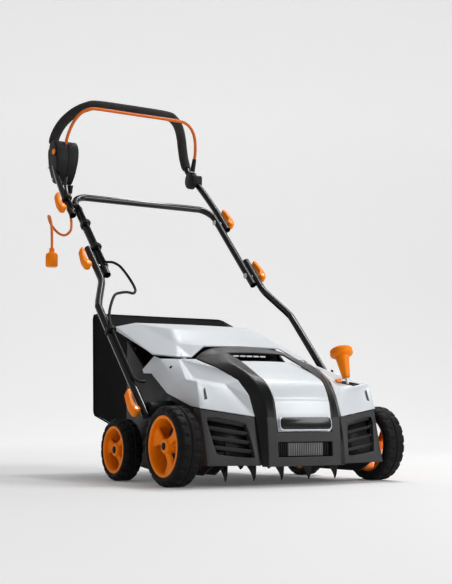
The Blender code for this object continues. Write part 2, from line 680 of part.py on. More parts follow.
def build_axles():
    front, rear = FRONT_WHEEL, REAR_WHEEL
    crank_x = 0.2215
    end = front["x_out"] - 0.006
    route = [(-end, front["y"], front["r"]), (-crank_x, front["y"], front["r"]), (-crank_x, *CRANK)]
    route += [(-x, y, z) for x, y, z in reversed(route)]
    path = [route[0]]
    for before, corner, after in zip(route, route[1:], route[2:]):
        a = Vector(corner) + (Vector(before) - Vector(corner)).normalized() * 0.006
        b = Vector(corner) + (Vector(after) - Vector(corner)).normalized() * 0.006
        for i in range(3):
            t = i / 2
            path.append(tuple(a * (1 - t) ** 2 + Vector(corner) * 2 * t * (1 - t) + b * t**2))
    path.append(route[-1])
    tube("front_axle", path, AXLE_R, STEEL, pivot=(0.0, *CRANK))
    rear_end = rear["x_out"] - 0.006
    rear_centre = (rear["y"], rear["r"])
    rod_x("rear_axle", rear_centre, AXLE_R, -rear_end, rear_end, STEEL, pivot=(0.0, *rear_centre))


LEVER_X = 0.197
LEVER_DIR = Vector((0.03, 0.325, 0.945)).normalized()


def lever_point(distance):
    return Vector((LEVER_X, *CRANK)) + LEVER_DIR * distance


def build_depth_lever():
    rod_top = 0.1065
    tube("depth_lever", [lever_point(0.0056), lever_point(0.05), lever_point(rod_top)], 0.0040, STEEL,
         pivot=(0.0, *CRANK))
    profile = [
        (rod_top - 0.006, 0.0), (rod_top - 0.006, 0.0085), (rod_top - 0.002, 0.0098),
        (0.1500, 0.0165), (0.1560, 0.0225), (0.1600, 0.0265), (0.1660, 0.0278), (0.1720, 0.0255),
        (0.1765, 0.0180), (0.1785, 0.0),
    ]
    across = LEVER_DIR.cross(Vector((1.0, 0.0, 0.0))).normalized()
    other = LEVER_DIR.cross(across)
    segments = 16
    inner = profile[1:-1]
    verts = [lever_point(profile[0][0]), lever_point(profile[-1][0])]
    for i in range(segments):
        angle = 2 * math.pi * i / segments
        for distance, radius in inner:
            radial = across * math.cos(angle) + other * math.sin(angle)
            verts.append(lever_point(distance) + radial * radius)
    count = len(inner)
    faces = []
    for i in range(segments):
        a, b = 2 + i * count, 2 + (i + 1) % segments * count
        faces += [(0, b, a), (1, a + count - 1, b + count - 1)]
        for j in range(count - 1):
            faces.append((a + j, b + j, b + j + 1, a + j + 1))
    knob = solid("depth_knob", verts, faces, ORANGE, pivot=(0.0, *CRANK), smooth=True)
    socket = [lever_point(rod_top - 0.012), lever_point(rod_top + GAP)]
    cut(knob, tube("cut_knob_socket", socket, 0.0040 + GAP))


# ---------------------------------------------------------------- handle
def mirror_path(path):
    return [(-x, y, z) for x, y, z in path]


def right_upper_path():
    """One side of the upper handle, from its lower end to the middle of the grip bar."""
    knots = [
        on_handle(OUTER_X, UPPER_BOLT - 0.030), on_handle(OUTER_X, UPPER_BOLT),
        on_handle(OUTER_X, UPPER_BOLT + 0.045), on_handle(0.236, 0.90), on_handle(0.228, 0.97),
        (0.2200, 0.8150, 0.8920), (0.2150, 0.8290, 0.9300), (0.2060, 0.8240, 0.9640),
        (0.1920, 0.8070, 0.9930), (0.1690, 0.7820, 1.0180), (0.1410, 0.7610, 1.0330),
        (0.1100, 0.7530, 1.0390), (0.0, *GRIP_BAR),
    ]
    return smooth_path(knots, 1)


def build_handle():
    foot = (0.0, *HANDLE_FOOT)
    lower_bolt = on_handle(0.0, LOWER_BOLT)
    upper_bolt = on_handle(0.0, UPPER_BOLT)
    for side, label in ((-1, "left"), (1, "right")):
        knots = [
            on_handle(FOOT_X, -0.014), on_handle(FOOT_X, 0.0), on_handle(FOOT_X, 0.335),
            on_handle(0.281, 0.365), on_handle(0.263, 0.410), on_handle(0.245, 0.455),
            on_handle(OUTER_X, 0.485), on_handle(OUTER_X, 0.590),
        ]
        path = [(side * x, y, z) for x, y, z in knots]
        lower = tube(f"lower_tube_{label}", path, TUBE_R, PAINTED, bore=TUBE_BORE, segments=8, pivot=foot)
        cut(lower, hole(f"cut_foot_hole_{label}", on_handle(0.0, 0.0), side * FOOT_X),
            hole(f"cut_low_hole_{label}", lower_bolt, side * OUTER_X))
    corner = 0.045
    leg = [on_handle(INNER_X, 0.483), on_handle(INNER_X, LOWER_BOLT), on_handle(INNER_X, 0.64),
           on_handle(INNER_X, UPPER_BOLT), on_handle(INNER_X, CROSSBAR - corner)]
    for i in range(1, 5):
        angle = math.pi / 2 * i / 5
        x = INNER_X - corner * (1 - math.cos(angle))
        leg.append(on_handle(x, CROSSBAR - corner * (1 - math.sin(angle))))
    leg.append(on_handle(INNER_X - corner, CROSSBAR))
    path = leg + mirror_path(reversed(leg))
    frame = tube("mid_frame", path, TUBE_R, PAINTED, bore=TUBE_BORE, segments=8, pivot=lower_bolt)
    for side, label in ((-1, "left"), (1, "right")):
        cut(frame, hole(f"cut_mid_low_{label}", lower_bolt, side * INNER_X),
            hole(f"cut_mid_up_{label}", upper_bolt, side * INNER_X))
    half = right_upper_path()
    path = mirror_path(half) + list(reversed(half))[1:]
    upper = tube("upper_handle", path, TUBE_R, PAINTED, bore=TUBE_BORE, segments=8, pivot=upper_bolt)
    for side, label in ((-1, "left"), (1, "right")):
        cut(upper, hole(f"cut_up_hole_{label}", upper_bolt, side * OUTER_X))
    grip_path = [p for p in path if p[2] > 0.925]
    tube("foam_grip", grip_path, GRIP_R, FOAM, bore=TUBE_R + 0.0016, segments=8, pivot=upper_bolt)
    for side, label in ((-1, "left"), (1, "right")):
        bolt(f"lower_bolt_{label}", lower_bolt, side)
        bolt(f"upper_bolt_{label}", upper_bolt, side)


def hole(name, centre, x):
    """A cutter for a bolt hole across a tube."""
    return rod_x(name, centre[1:], 0.0034, x - 0.013, x + 0.013, segments=10)


def bolt(name, centre, side):
    """A carriage bolt from its round head inside the inner tube out to the cam lever."""
    inside = INNER_X - TUBE_R
    profile = [
        (inside - 0.0048, 0.0), (inside - 0.0045, 0.0045), (inside - 0.0020, 0.0075),
        (inside - GAP, 0.0078),
        (inside - GAP, 0.0030), (0.2520, 0.0030), (0.2520, 0.0),
    ]
    profile = [(side * x, radius) for x, radius in profile]
    turned(name, profile, centre[1:], STEEL, centre)


CAM_PIVOT_OUT = 0.012  # from the tube's washer face to the lever's pin


def lever_outline():
    """A cam lever seen along its own pin: (outward, along the tube) from the bolt's end."""
    return [
        (0.0005, 0.0), (0.0040, -0.0080), (0.0120, -0.0115), (0.0190, -0.0090), (0.0232, 0.0110),
        (0.0210, 0.0270), (0.0185, 0.0430), (0.0160, 0.0560), (0.0110, 0.0630), (0.0055, 0.0600),
        (0.0056, 0.0500), (0.0088, 0.0410), (0.0105, 0.0270), (0.0100, 0.0160), (0.0040, 0.0080),
    ]


def build_cam_lever(name, side, x_face, along):
    """A cam lever against a tube's outer side, arm up along the tube."""
    centre = Vector(on_handle(side * x_face, along))
    up = Vector((0.0, *HANDLE_DIR))
    out = Vector((side, 0.0, 0.0))
    thick = Vector((0.0, -HANDLE_DIR[1], HANDLE_DIR[0])) * 0.0100
    outline = lever_outline()
    count = len(outline)
    verts = []
    for sign in (-1, 1):
        verts += [centre + out * a + up * b + thick * sign for a, b in outline]
    faces = [tuple(range(count)), tuple(range(2 * count - 1, count - 1, -1))]
    faces += [(i, (i + 1) % count, count + (i + 1) % count, count + i) for i in range(count)]
    return solid(name, verts, faces, ORANGE, pivot=tuple(centre + out * CAM_PIVOT_OUT))


def build_levers():
    outside = OUTER_X + TUBE_R + 0.0013
    for side, label in ((-1, "left"), (1, "right")):
        build_cam_lever(f"foot_lever_{label}", side, FOOT_X + TUBE_R + 0.0013, 0.0)
        build_cam_lever(f"lower_lever_{label}", side, outside, LOWER_BOLT)
        build_cam_lever(f"upper_lever_{label}", side, outside, UPPER_BOLT)


# ---------------------------------------------------------------- controls
def build_controls():
    upper_bolt = on_handle(0.0, UPPER_BOLT)
    outline = [
        (0.7380, 0.8650), (0.7400, 0.9020), (0.7540, 0.9230), (0.7830, 0.9250), (0.8030, 0.9020),
        (0.8040, 0.8520), (0.7880, 0.8060), (0.7660, 0.7990), (0.7480, 0.8240),
    ]
    housing = prism("switch_box", outline, -0.2425, -0.1720, BLACK, pivot=upper_bolt)
    channel = [p for p in mirror_path(right_upper_path()) if 0.72 < p[1] and 0.75 < p[2] < 0.98]
    cut(housing, tube("cut_tube_channel", channel, TUBE_R + 0.0005, segments=16))
    cut(housing, rod_x("cut_button_well", (0.7520, 0.8880), 0.0085, -0.2500, -0.2340, segments=16))
    slot = [(0.7320, 0.9300), (0.7000, 0.9300), (0.7000, 0.8300), (0.7750, 0.8300), (0.7960, 0.8450),
            (0.7960, 0.8700), (0.7780, 0.9300)]
    cut(housing, prism("cut_bail_slot", slot, -0.2160, -0.2000))
    rod_x("lock_button", (0.7520, 0.8880), 0.0080, -0.2470, -0.2405, ORANGE,
          pivot=(-0.2438, 0.7520, 0.8880))
    disc = [(0.2000, 0.0), (0.2000, 0.0230), (0.2030, 0.0260), (0.2165, 0.0260), (0.2165, 0.0)]
    cap = turned("bail_pivot_box", disc, BAIL_AXIS, BLACK, upper_bolt)
    arm = box("cut_clamp", (0.2150, BAIL_AXIS[0] - 0.016, BAIL_AXIS[1] - 0.016),
              (0.2400, BAIL_AXIS[0] + 0.016, BAIL_AXIS[1] + 0.016))
    join(cap, arm)
    cut(cap, tube("cut_clamp_channel", mirror_path(channel), TUBE_R + 0.0005, segments=16))
    leg = [
        (0.2080, 0.7655, 0.8836), (0.2080, 0.7560, 0.9070), (0.2060, 0.7440, 0.9370),
        (0.1960, 0.7290, 0.9730), (0.1780, 0.7180, 0.9990), (0.1540, 0.7120, 1.0130),
        (0.1250, 0.7110, 1.0160), (0.0, 0.7110, 1.0160),
    ]
    half = smooth_path(leg, 2)
    path = mirror_path(half) + list(reversed(half))[1:]
    tube("bail", path, BAIL_R, ORANGE, segments=8, pivot=(0.0, *BAIL_AXIS))
    gland = [
        (0.0, 0.0052), (0.0, 0.0085), (-0.010, 0.0080), (-0.022, 0.0062), (-0.022, 0.0045),
        (-0.004, 0.0045),
    ]
    upright_ring("cable_gland", gland, (-0.1880, 0.7640, 0.7985), BLACK, upper_bolt)


def upright_ring(name, profile, top, mat, pivot, segments=14):
    """Turns a closed (height, radius) profile about the vertical through top."""
    verts = []
    for i in range(segments):
        angle = 2 * math.pi * i / segments
        for height, radius in profile:
            x, y = top[0] + radius * math.cos(angle), top[1] + radius * math.sin(angle)
            verts.append((x, y, top[2] + height))
    count = len(profile)
    faces = []
    for i in range(segments):
        a, b = i * count, (i + 1) % segments * count
        for j in range(count):
            k = (j + 1) % count
            faces.append((a + j, b + j, b + k, a + k))
    return solid(name, verts, faces, mat, pivot=pivot, smooth=True)


# ---------------------------------------------------------------- bag
def build_bag():
    mouth_y, mouth_t = 0.338, 0.010
    frame = box("bag_frame", (-0.202, mouth_y, 0.112), (0.202, mouth_y + mouth_t, 0.336), BLACK)
    cut(frame, box("cut_bag_mouth", (-0.190, mouth_y - 0.01, 0.126), (0.190, mouth_y + 0.03, 0.322)))
    front = mouth_y + mouth_t + 0.0004
    side = [(front, 0.112), (0.480, 0.128), (0.567, 0.146), (0.574, 0.290), (0.579, 0.424), (0.484, 0.390),
            (0.425, 0.366), (front, 0.336)]
    wall = 0.006
    bag = prism("catch_bag", side, -BAG_X, BAG_X, FABRIC)
    inner = [
        (front - 0.01, 0.112 + wall), (0.479, 0.128 + wall), (0.567 - wall, 0.151),
        (0.574 - wall, 0.290), (0.579 - wall - 0.002, 0.424 - 1.6 * wall), (0.484, 0.390 - wall),
        (0.425, 0.366 - wall), (front - 0.01, 0.330 - wall),
    ]
    cut(bag, prism("cut_bag_inside", inner, -BAG_X + wall, BAG_X - wall))


# ---------------------------------------------------------------- cables
CABLE_D = 0.007
CABLE_LIFT = TUBE_R + CABLE_D / 2 + 0.0006


def build_cables():
    """The motor cable in three runs that meet where it crosses each handle joint."""
    lift = CABLE_LIFT
    upper = [
        (-0.2050, 0.7700, 0.7960), (-0.2130, 0.7500, 0.7900), on_handle(-0.2260, 0.880, 0.022),
        on_handle(-0.2380, 0.84, lift + 0.002),
        on_handle(-OUTER_X, 0.80, lift), on_handle(-OUTER_X, UPPER_BOLT + 0.012, lift),
        on_handle(-0.2395, UPPER_BOLT, lift), on_handle(-0.2312, UPPER_BOLT, lift),
    ]
    cord("motor_cable_upper", smooth_path(upper, 2), CABLE_D, CABLE, on_handle(0.0, UPPER_BOLT))
    middle = [
        on_handle(-0.2309, UPPER_BOLT, lift), on_handle(-0.2225, UPPER_BOLT, lift),
        on_handle(-INNER_X, UPPER_BOLT - 0.014, lift), on_handle(-INNER_X, 0.70, lift),
        on_handle(-INNER_X, 0.60, lift), on_handle(-INNER_X, LOWER_BOLT + 0.014, lift),
        on_handle(-0.2180, LOWER_BOLT, lift), on_handle(-0.2080, LOWER_BOLT, lift),
    ]
    cord("motor_cable_middle", smooth_path(middle, 2), CABLE_D, CABLE, on_handle(0.0, LOWER_BOLT))
    lower = [
        on_handle(-0.2077, LOWER_BOLT, lift), on_handle(-0.1960, LOWER_BOLT - 0.001, lift),
        (-0.1800, 0.4480, 0.5330), (-0.1620, 0.4330, 0.5030), (-0.1510, 0.4210, 0.4750),
        (-0.1620, 0.4070, 0.4620),
        (-0.1900, 0.3850, 0.4610), (-0.2200, 0.3620, 0.4560), (-0.2450, 0.3450, 0.4460),
        on_handle(-0.2680, 0.330, 0.0190), on_handle(-0.2790, 0.295, lift),
        on_handle(-FOOT_X, 0.25, lift), on_handle(-FOOT_X, 0.15, lift),
        on_handle(-FOOT_X, 0.100, lift), on_handle(-0.2800, 0.084, lift + 0.001),
        on_handle(-0.2700, 0.078, lift + 0.002), on_handle(-0.2602, 0.078, lift + 0.002),
    ]
    cord("motor_cable_lower", smooth_path(lower, 2), CABLE_D, CABLE, (0.0, *HANDLE_FOOT))
    lead = [
        (-0.1880, 0.7640, 0.7935), (-0.1880, 0.7640, 0.7700), (-0.1900, 0.7560, 0.7500),
        (-0.1980, 0.7380, 0.7300), (-0.2080, 0.7120, 0.7050), (-0.2150, 0.6880, 0.6780),
        (-0.2230, 0.6750, 0.6550), (-0.2370, 0.6800, 0.6420), (-0.2560, 0.6850, 0.6480),
        (-0.2780, 0.6800, 0.6680), (-0.2930, 0.6620, 0.6850), (-0.2980, 0.6400, 0.6800),
        (-0.2980, 0.6280, 0.6550), (-0.2970, 0.6260, 0.6250), (-0.2970, 0.6250, 0.5950),
    ]
    cord("mains_lead", smooth_path(lead, 2), CABLE_D, LEAD, on_handle(0.0, UPPER_BOLT))
    plug = [
        (0.0, 0.0042), (0.0, 0.0075), (-0.010, 0.0090), (-0.014, 0.0155), (-0.045, 0.0165),
        (-0.050, 0.0150), (-0.050, 0.0), (-0.004, 0.0),
    ]
    upright_plug("mains_plug", plug, (-0.2970, 0.6250, 0.5945), ORANGE, on_handle(0.0, UPPER_BOLT))


def upright_plug(name, profile, top, mat, pivot, segments=16):
    """A moulded plug: a body of revolution with a short socket for the lead at its top."""
    inner = [(h, r) for h, r in profile if r > 0.0]
    verts = [(top[0], top[1], top[2] - 0.050), (top[0], top[1], top[2] - 0.0005)]
    for i in range(segments):
        angle = 2 * math.pi * i / segments
        for height, radius in inner[1:]:
            x, y = top[0] + radius * math.cos(angle), top[1] + radius * math.sin(angle)
            verts.append((x, y, top[2] + height))
    count = len(inner) - 1
    faces = []
    for i in range(segments):
        a, b = 2 + i * count, 2 + (i + 1) % segments * count
        faces += [(1, a, b), (0, b + count - 1, a + count - 1)]
        for j in range(count - 1):
            faces.append((a + j, b + j, b + j + 1, a + j + 1))
    return solid(name, verts, faces, mat, pivot=pivot, smooth=True)


build_deck()
build_hood()
build_flap()
build_trim()
build_centre_panel()
build_badge()
build_bumper()
build_vent_grille("vent_grille_left", -1)
build_vent_grille("vent_grille_right", 1)
build_intake()
build_drive()
for wheel_label, wheel_spec in (("front", FRONT_WHEEL), ("rear", REAR_WHEEL)):
    build_wheel(f"{wheel_label}_left", wheel_spec, -1)
    build_wheel(f"{wheel_label}_right", wheel_spec, 1)
build_axles()
build_depth_lever()
build_handle()
build_levers()
build_controls()
build_bag()
build_cables()
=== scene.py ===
"""Electric lawn scarifier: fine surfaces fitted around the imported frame.

Shapes are written in a working frame whose Y = 0 is near the front axle; `placed`
shifts them by DATUM_Y into the model's own frame.  Metres, +Z up, -Y is the front.
"""

import math

import bmesh
import bpy
import numpy as np
from mathutils import Matrix, Vector


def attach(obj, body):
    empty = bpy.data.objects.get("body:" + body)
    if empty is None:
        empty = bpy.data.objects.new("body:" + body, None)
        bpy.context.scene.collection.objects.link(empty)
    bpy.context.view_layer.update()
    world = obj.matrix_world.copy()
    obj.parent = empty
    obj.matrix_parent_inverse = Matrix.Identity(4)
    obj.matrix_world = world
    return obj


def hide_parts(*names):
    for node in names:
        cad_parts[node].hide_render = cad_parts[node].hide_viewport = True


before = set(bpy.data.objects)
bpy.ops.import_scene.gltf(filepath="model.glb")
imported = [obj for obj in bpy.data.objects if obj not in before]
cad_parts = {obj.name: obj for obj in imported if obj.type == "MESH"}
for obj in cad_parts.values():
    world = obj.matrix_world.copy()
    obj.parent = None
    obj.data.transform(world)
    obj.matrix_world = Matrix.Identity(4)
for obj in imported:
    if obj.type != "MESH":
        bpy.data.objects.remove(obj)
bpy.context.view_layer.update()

DATUM_Y = -0.3591
CHAMBER_MIDDLE = (0.0, 0.12 + DATUM_Y, 0.10)
CAMERA_TURN = math.radians(-30.916)
TAU = 2 * math.pi
HANDLE_FOOT = (0.103, 0.163)
HANDLE_DIR = (0.7, 0.7141)
TUBE_R = 0.0095
TUBE_BORE = 0.0083
FOOT_X, OUTER_X, INNER_X = 0.284, 0.242, 0.220
LOWER_BOLT, UPPER_BOLT, CROSSBAR = 0.5214, 0.763, 0.824
REEL = (-0.015, 0.068)
CRANK = (-0.036, 0.147)
CABLE_D = 0.007
CABLE_LIFT = TUBE_R + CABLE_D / 2 + 0.0006
SIDES = (("left", -1), ("right", 1))


# ---------------------------------------------------------------- camera
def make_camera():
    """A long lens close to the ground, pitched up 6.1 degrees and turned 30.9 degrees."""
    data = bpy.data.cameras.new("camera")
    data.lens = 70.89
    data.sensor_width = 36.0
    data.clip_end = 50.0
    camera = bpy.data.objects.new("camera", data)
    camera.location = (-1.4556, -2.2106 + DATUM_Y, 0.1538)
    camera.rotation_euler = (math.radians(96.104), 0.0, CAMERA_TURN)
    bpy.context.scene.collection.objects.link(camera)
    bpy.context.scene.camera = camera


make_camera()


# ---------------------------------------------------------------- finishes
def finish(name, colour, roughness, metallic=0.0, coat=0.0, sheen=0.0, grain=(900.0, 0.08),
           mottle=(14.0, 0.05), rough_span=0.05, weave=0.0, specular=0.5):
    """A finish: base colour mottled by slow noise, roughness that wanders, fine grain as bump."""
    mat = bpy.data.materials.new(name)
    mat.use_nodes = True
    nodes, links = mat.node_tree.nodes, mat.node_tree.links
    shader = nodes["Principled BSDF"]
    shader.inputs["Metallic"].default_value = metallic
    shader.inputs["Specular IOR Level"].default_value = specular
    shader.inputs["Coat Weight"].default_value = coat
    shader.inputs["Coat Roughness"].default_value = 0.08
    shader.inputs["Sheen Weight"].default_value = sheen
    shader.inputs["Sheen Roughness"].default_value = 0.6
    place = nodes.new("ShaderNodeTexCoord").outputs["Object"]
    slow = nodes.new("ShaderNodeTexNoise")
    slow.inputs["Scale"].default_value = mottle[0]
    slow.inputs["Detail"].default_value = 3.0
    links.new(place, slow.inputs["Vector"])
    ramp = nodes.new("ShaderNodeValToRGB")
    low = [max(0.0, c * (1.0 - 2.0 * mottle[1])) for c in colour]
    high = [min(1.0, c * (1.0 + 2.0 * mottle[1])) for c in colour]
    ramp.color_ramp.elements[0].position = 0.3
    ramp.color_ramp.elements[1].position = 0.7
    ramp.color_ramp.elements[0].color = (*low, 1.0)
    ramp.color_ramp.elements[1].color = (*high, 1.0)
    links.new(slow.outputs["Fac"], ramp.inputs["Fac"])
    links.new(ramp.outputs["Color"], shader.inputs["Base Color"])
    spread = nodes.new("ShaderNodeMapRange")
    spread.inputs["From Min"].default_value = 0.3
    spread.inputs["From Max"].default_value = 0.7
    spread.inputs["To Min"].default_value = max(0.02, roughness - rough_span)
    spread.inputs["To Max"].default_value = min(1.0, roughness + rough_span)
    links.new(slow.outputs["Fac"], spread.inputs["Value"])
    links.new(spread.outputs["Result"], shader.inputs["Roughness"])
    fine = nodes.new("ShaderNodeTexNoise")
    fine.inputs["Scale"].default_value = grain[0]
    fine.inputs["Detail"].default_value = 2.0
    links.new(place, fine.inputs["Vector"])
    height = fine.outputs["Fac"]
    if weave:
        height = woven_height(nodes, links, place, height, weave)
    bump = nodes.new("ShaderNodeBump")
    bump.inputs["Strength"].default_value = grain[1]
    bump.inputs["Distance"].default_value = 0.0006
    links.new(height, bump.inputs["Height"])
    links.new(bump.outputs["Normal"], shader.inputs["Normal"])
    mat.diffuse_color = (*colour, 1.0)
    return mat


def woven_height(nodes, links, place, noise, pitch):
    """Threads crossing: the product of sines along X, Y and Z at the thread pitch, plus noise."""
    split = nodes.new("ShaderNodeSeparateXYZ")
    links.new(place, split.inputs["Vector"])
    total = noise
    for axis in "XYZ":
        scaled = nodes.new("ShaderNodeMath")
        scaled.operation = "MULTIPLY"
        scaled.inputs[1].default_value = TAU / pitch
        links.new(split.outputs[axis], scaled.inputs[0])
        wave = nodes.new("ShaderNodeMath")
        wave.operation = "SINE"
        links.new(scaled.outputs[0], wave.inputs[0])
        add = nodes.new("ShaderNodeMath")
        add.operation = "MULTIPLY_ADD"
        add.inputs[1].default_value = 0.35
        links.new(wave.outputs[0], add.inputs[0])
        links.new(total, add.inputs[2])
        total = add.outputs[0]
    return total


SILVER = finish("silver_lacquer", (0.62, 0.65, 0.68), 0.40, metallic=0.12, coat=0.10,
                grain=(1600.0, 0.05), mottle=(5.0, 0.015), rough_span=0.03)
BLACK = finish("grained_black_plastic", (0.0085, 0.0085, 0.0092), 0.46, specular=0.14,
               grain=(1300.0, 0.28), mottle=(18.0, 0.10), rough_span=0.06)
GLOSS = finish("satin_black_trim", (0.0050, 0.0050, 0.0056), 0.30, specular=0.22, coat=0.05,
               grain=(700.0, 0.04), mottle=(10.0, 0.06), rough_span=0.04)
CHARCOAL = finish("charcoal_fascia", (0.044, 0.044, 0.046), 0.50, specular=0.2,
                  grain=(1200.0, 0.22), mottle=(16.0, 0.07), rough_span=0.05)
ORANGE = finish("orange_plastic", (1.0, 0.240, 0.001), 0.40, specular=0.16, grain=(900.0, 0.06),
                mottle=(22.0, 0.03), rough_span=0.05)
BAIL_ORANGE = finish("orange_bail_coat", (0.60, 0.125, 0.010), 0.40, specular=0.2,
                     grain=(700.0, 0.10), mottle=(30.0, 0.05))
TYRE = finish("tyre_rubber", (0.0065, 0.0065, 0.0070), 0.60, specular=0.12, grain=(520.0, 0.35),
              mottle=(30.0, 0.14), rough_span=0.10)
FOAM = finish("grip_foam", (0.026, 0.024, 0.023), 0.88, specular=0.1, sheen=0.05,
              grain=(650.0, 0.75), mottle=(45.0, 0.12))
STEEL = finish("zinc_steel", (0.58, 0.58, 0.60), 0.32, metallic=1.0, grain=(500.0, 0.10),
               mottle=(60.0, 0.05))
TINE = finish("blackened_spring_steel", (0.018, 0.018, 0.019), 0.38, metallic=0.3,
              grain=(380.0, 0.25), mottle=(70.0, 0.15), rough_span=0.10)
PAINT = finish("black_powder_coat", (0.0026, 0.0026, 0.0028), 0.12, specular=0.18, coat=0.45,
               grain=(420.0, 0.008), mottle=(20.0, 0.08), rough_span=0.03)
FABRIC = finish("black_polyester", (0.0075, 0.0075, 0.0082), 0.86, specular=0.06,
                grain=(900.0, 0.60), mottle=(20.0, 0.14), weave=0.0016)
PIPING = finish("woven_piping", (0.006, 0.006, 0.0066), 0.75, specular=0.08, grain=(1200.0, 0.5),
                mottle=(40.0, 0.10), weave=0.0010)
CABLE = finish("black_cable_sheath", (0.008, 0.008, 0.0088), 0.42, specular=0.15,
               grain=(800.0, 0.12), mottle=(35.0, 0.08))
LEAD = finish("orange_cable_sheath", (0.64, 0.15, 0.012), 0.45, specular=0.2, grain=(800.0, 0.10),
              mottle=(35.0, 0.05))
BELT = finish("belt_rubber", (0.020, 0.020, 0.020), 0.70, grain=(600.0, 0.4), mottle=(40.0, 0.10))
CASTING = finish("cast_aluminium", (0.50, 0.51, 0.52), 0.42, metallic=1.0, grain=(320.0, 0.35),
                 mottle=(40.0, 0.07))
FIN_GREY = finish("grey_fin_plastic", (0.16, 0.16, 0.165), 0.45, grain=(1100.0, 0.12),
                  mottle=(30.0, 0.08))
SLOT_WHITE = finish("pale_slot_plastic", (0.85, 0.87, 0.88), 0.50, grain=(900.0, 0.10),
                    mottle=(30.0, 0.03))
DARK_GLASSY = finish("black_badge_lacquer", (0.005, 0.005, 0.006), 0.20, specular=0.3, coat=0.1,
                     grain=(900.0, 0.03), mottle=(12.0, 0.06), rough_span=0.02)
EDGING = finish("silver_badge_edging", (0.72, 0.74, 0.77), 0.28, metallic=0.6, grain=(900.0, 0.05),
                mottle=(20.0, 0.02), rough_span=0.03)


# ---------------------------------------------------------------- mesh makers
def placed(points):
    """Points of the working frame moved into the model's frame."""
    moved = np.array(points, float)
    moved[..., 1] += DATUM_Y
    return moved


def piece(name, points, faces, mat, angle=38.0, turn_out=True):
    """A mesh object at the origin; doubles merged, normals outward, smooth below the angle."""
    mesh = bpy.data.meshes.new(name)
    mesh.from_pydata(np.asarray(points, float).tolist(), [], faces)
    edit = bmesh.new()
    edit.from_mesh(mesh)
    bmesh.ops.remove_doubles(edit, verts=edit.verts, dist=2e-6)
    if turn_out:
        bmesh.ops.recalc_face_normals(edit, faces=edit.faces)
    edit.to_mesh(mesh)
    edit.free()
    mesh.shade_smooth()
    mesh.set_sharp_from_angle(angle=math.radians(angle))
    mesh.materials.append(mat)
    return linked(name, mesh)


def grid_faces(rows, columns, wrap_rows=False, wrap_columns=False):
    """Quads over a grid of rows x columns points, numbered row by row."""
    index = np.arange(rows * columns).reshape(rows, columns)
    if wrap_columns:
        index = np.hstack([index, index[:, :1]])
    if wrap_rows:
        index = np.vstack([index, index[:1]])
    quads = np.stack([index[:-1, :-1], index[:-1, 1:], index[1:, 1:], index[1:, :-1]], -1)
    return quads.reshape(-1, 4).tolist()


def end_caps(rows, columns):
    """The two polygons that close the first and the last ring of a grid."""
    return [list(range(columns))[::-1], list(range((rows - 1) * columns, rows * columns))]


def linked(name, mesh):
    """A new object in the scene that holds the mesh."""
    obj = bpy.data.objects.new(name, mesh)
    bpy.context.scene.collection.objects.link(obj)
    return obj


def finer(obj, **modifiers):
    """Adds modifiers in the order given, then makes their result the object's own mesh."""
    for kind, settings in modifiers.items():
        modifier = obj.modifiers.new(kind, kind)
        for key, value in settings.items():
            setattr(modifier, key, value)
    bpy.context.view_layer.update()
    graph = bpy.context.evaluated_depsgraph_get()
    result = bpy.data.meshes.new_from_object(obj.evaluated_get(graph))
    obj.modifiers.clear()
    obj.data = result
    return obj


def softened(obj, width, segments=2, angle=30.0, sharp=38.0):
    """Rounds an object's hard edges."""
    finer(obj, BEVEL=dict(width=width, segments=segments, limit_method="ANGLE",
                          angle_limit=math.radians(angle), harden_normals=False))
    obj.data.shade_smooth()
    obj.data.set_sharp_from_angle(angle=math.radians(sharp))
    return obj


def spline(knots, per_span):
    """Catmull-Rom curve: the usual cubic blend of each four neighbouring knots."""
    knots = np.array(knots, float)
    padded = np.vstack([2 * knots[0] - knots[1], knots, 2 * knots[-1] - knots[-2]])
    a, b, c, d = padded[:-3, None], padded[1:-2, None], padded[2:-1, None], padded[3:, None]
    t = (np.arange(per_span) / per_span)[None, :, None]
    curve = 0.5 * (2 * b + (c - a) * t + (2 * a - 5 * b + 4 * c - d) * t**2
                   + (3 * b - a - 3 * c + d) * t**3)
    return np.vstack([curve.reshape(-1, knots.shape[1]), knots[-1:]])


def carried_frames(path):
    """Unit tangents and two cross directions that turn as little as they can along a path."""
    tangent = np.gradient(path, axis=0)
    tangent /= np.linalg.norm(tangent, axis=1, keepdims=True)
    first = np.zeros_like(path)
    normal = np.cross(tangent[0], (0.31, 0.2, 0.93))
    for i, direction in enumerate(tangent):
        normal = normal - direction * normal.dot(direction)
        normal = normal / np.linalg.norm(normal)
        first[i] = normal
    return tangent, first, np.cross(tangent, first)


def sweep(name, path, radius, mat, sides=20, caps=True, bore=0.0):
    """A tube: point = path(s) + r(s) (cos t N + sin t B); bore adds an inner wall."""
    path = np.asarray(path, float)
    _, normal, other = carried_frames(path)
    angle = np.arange(sides) * TAU / sides
    radius = np.broadcast_to(np.asarray(radius, float), (len(path),))
    rows = len(path)

    def wall(r):
        around = (np.cos(angle)[None, :, None] * normal[:, None]
                  + np.sin(angle)[None, :, None] * other[:, None])
        return path[:, None] + r[:, None, None] * around

    grid = wall(radius)
    if bore:
        grid = np.concatenate([grid, wall(np.full(rows, bore))[::-1]])
        return piece(name, grid.reshape(-1, 3),
                     grid_faces(len(grid), sides, wrap_rows=True, wrap_columns=True), mat)
    faces = grid_faces(rows, sides, wrap_columns=True)
    if caps:
        faces += end_caps(rows, sides)
    return piece(name, grid.reshape(-1, 3), faces, mat)


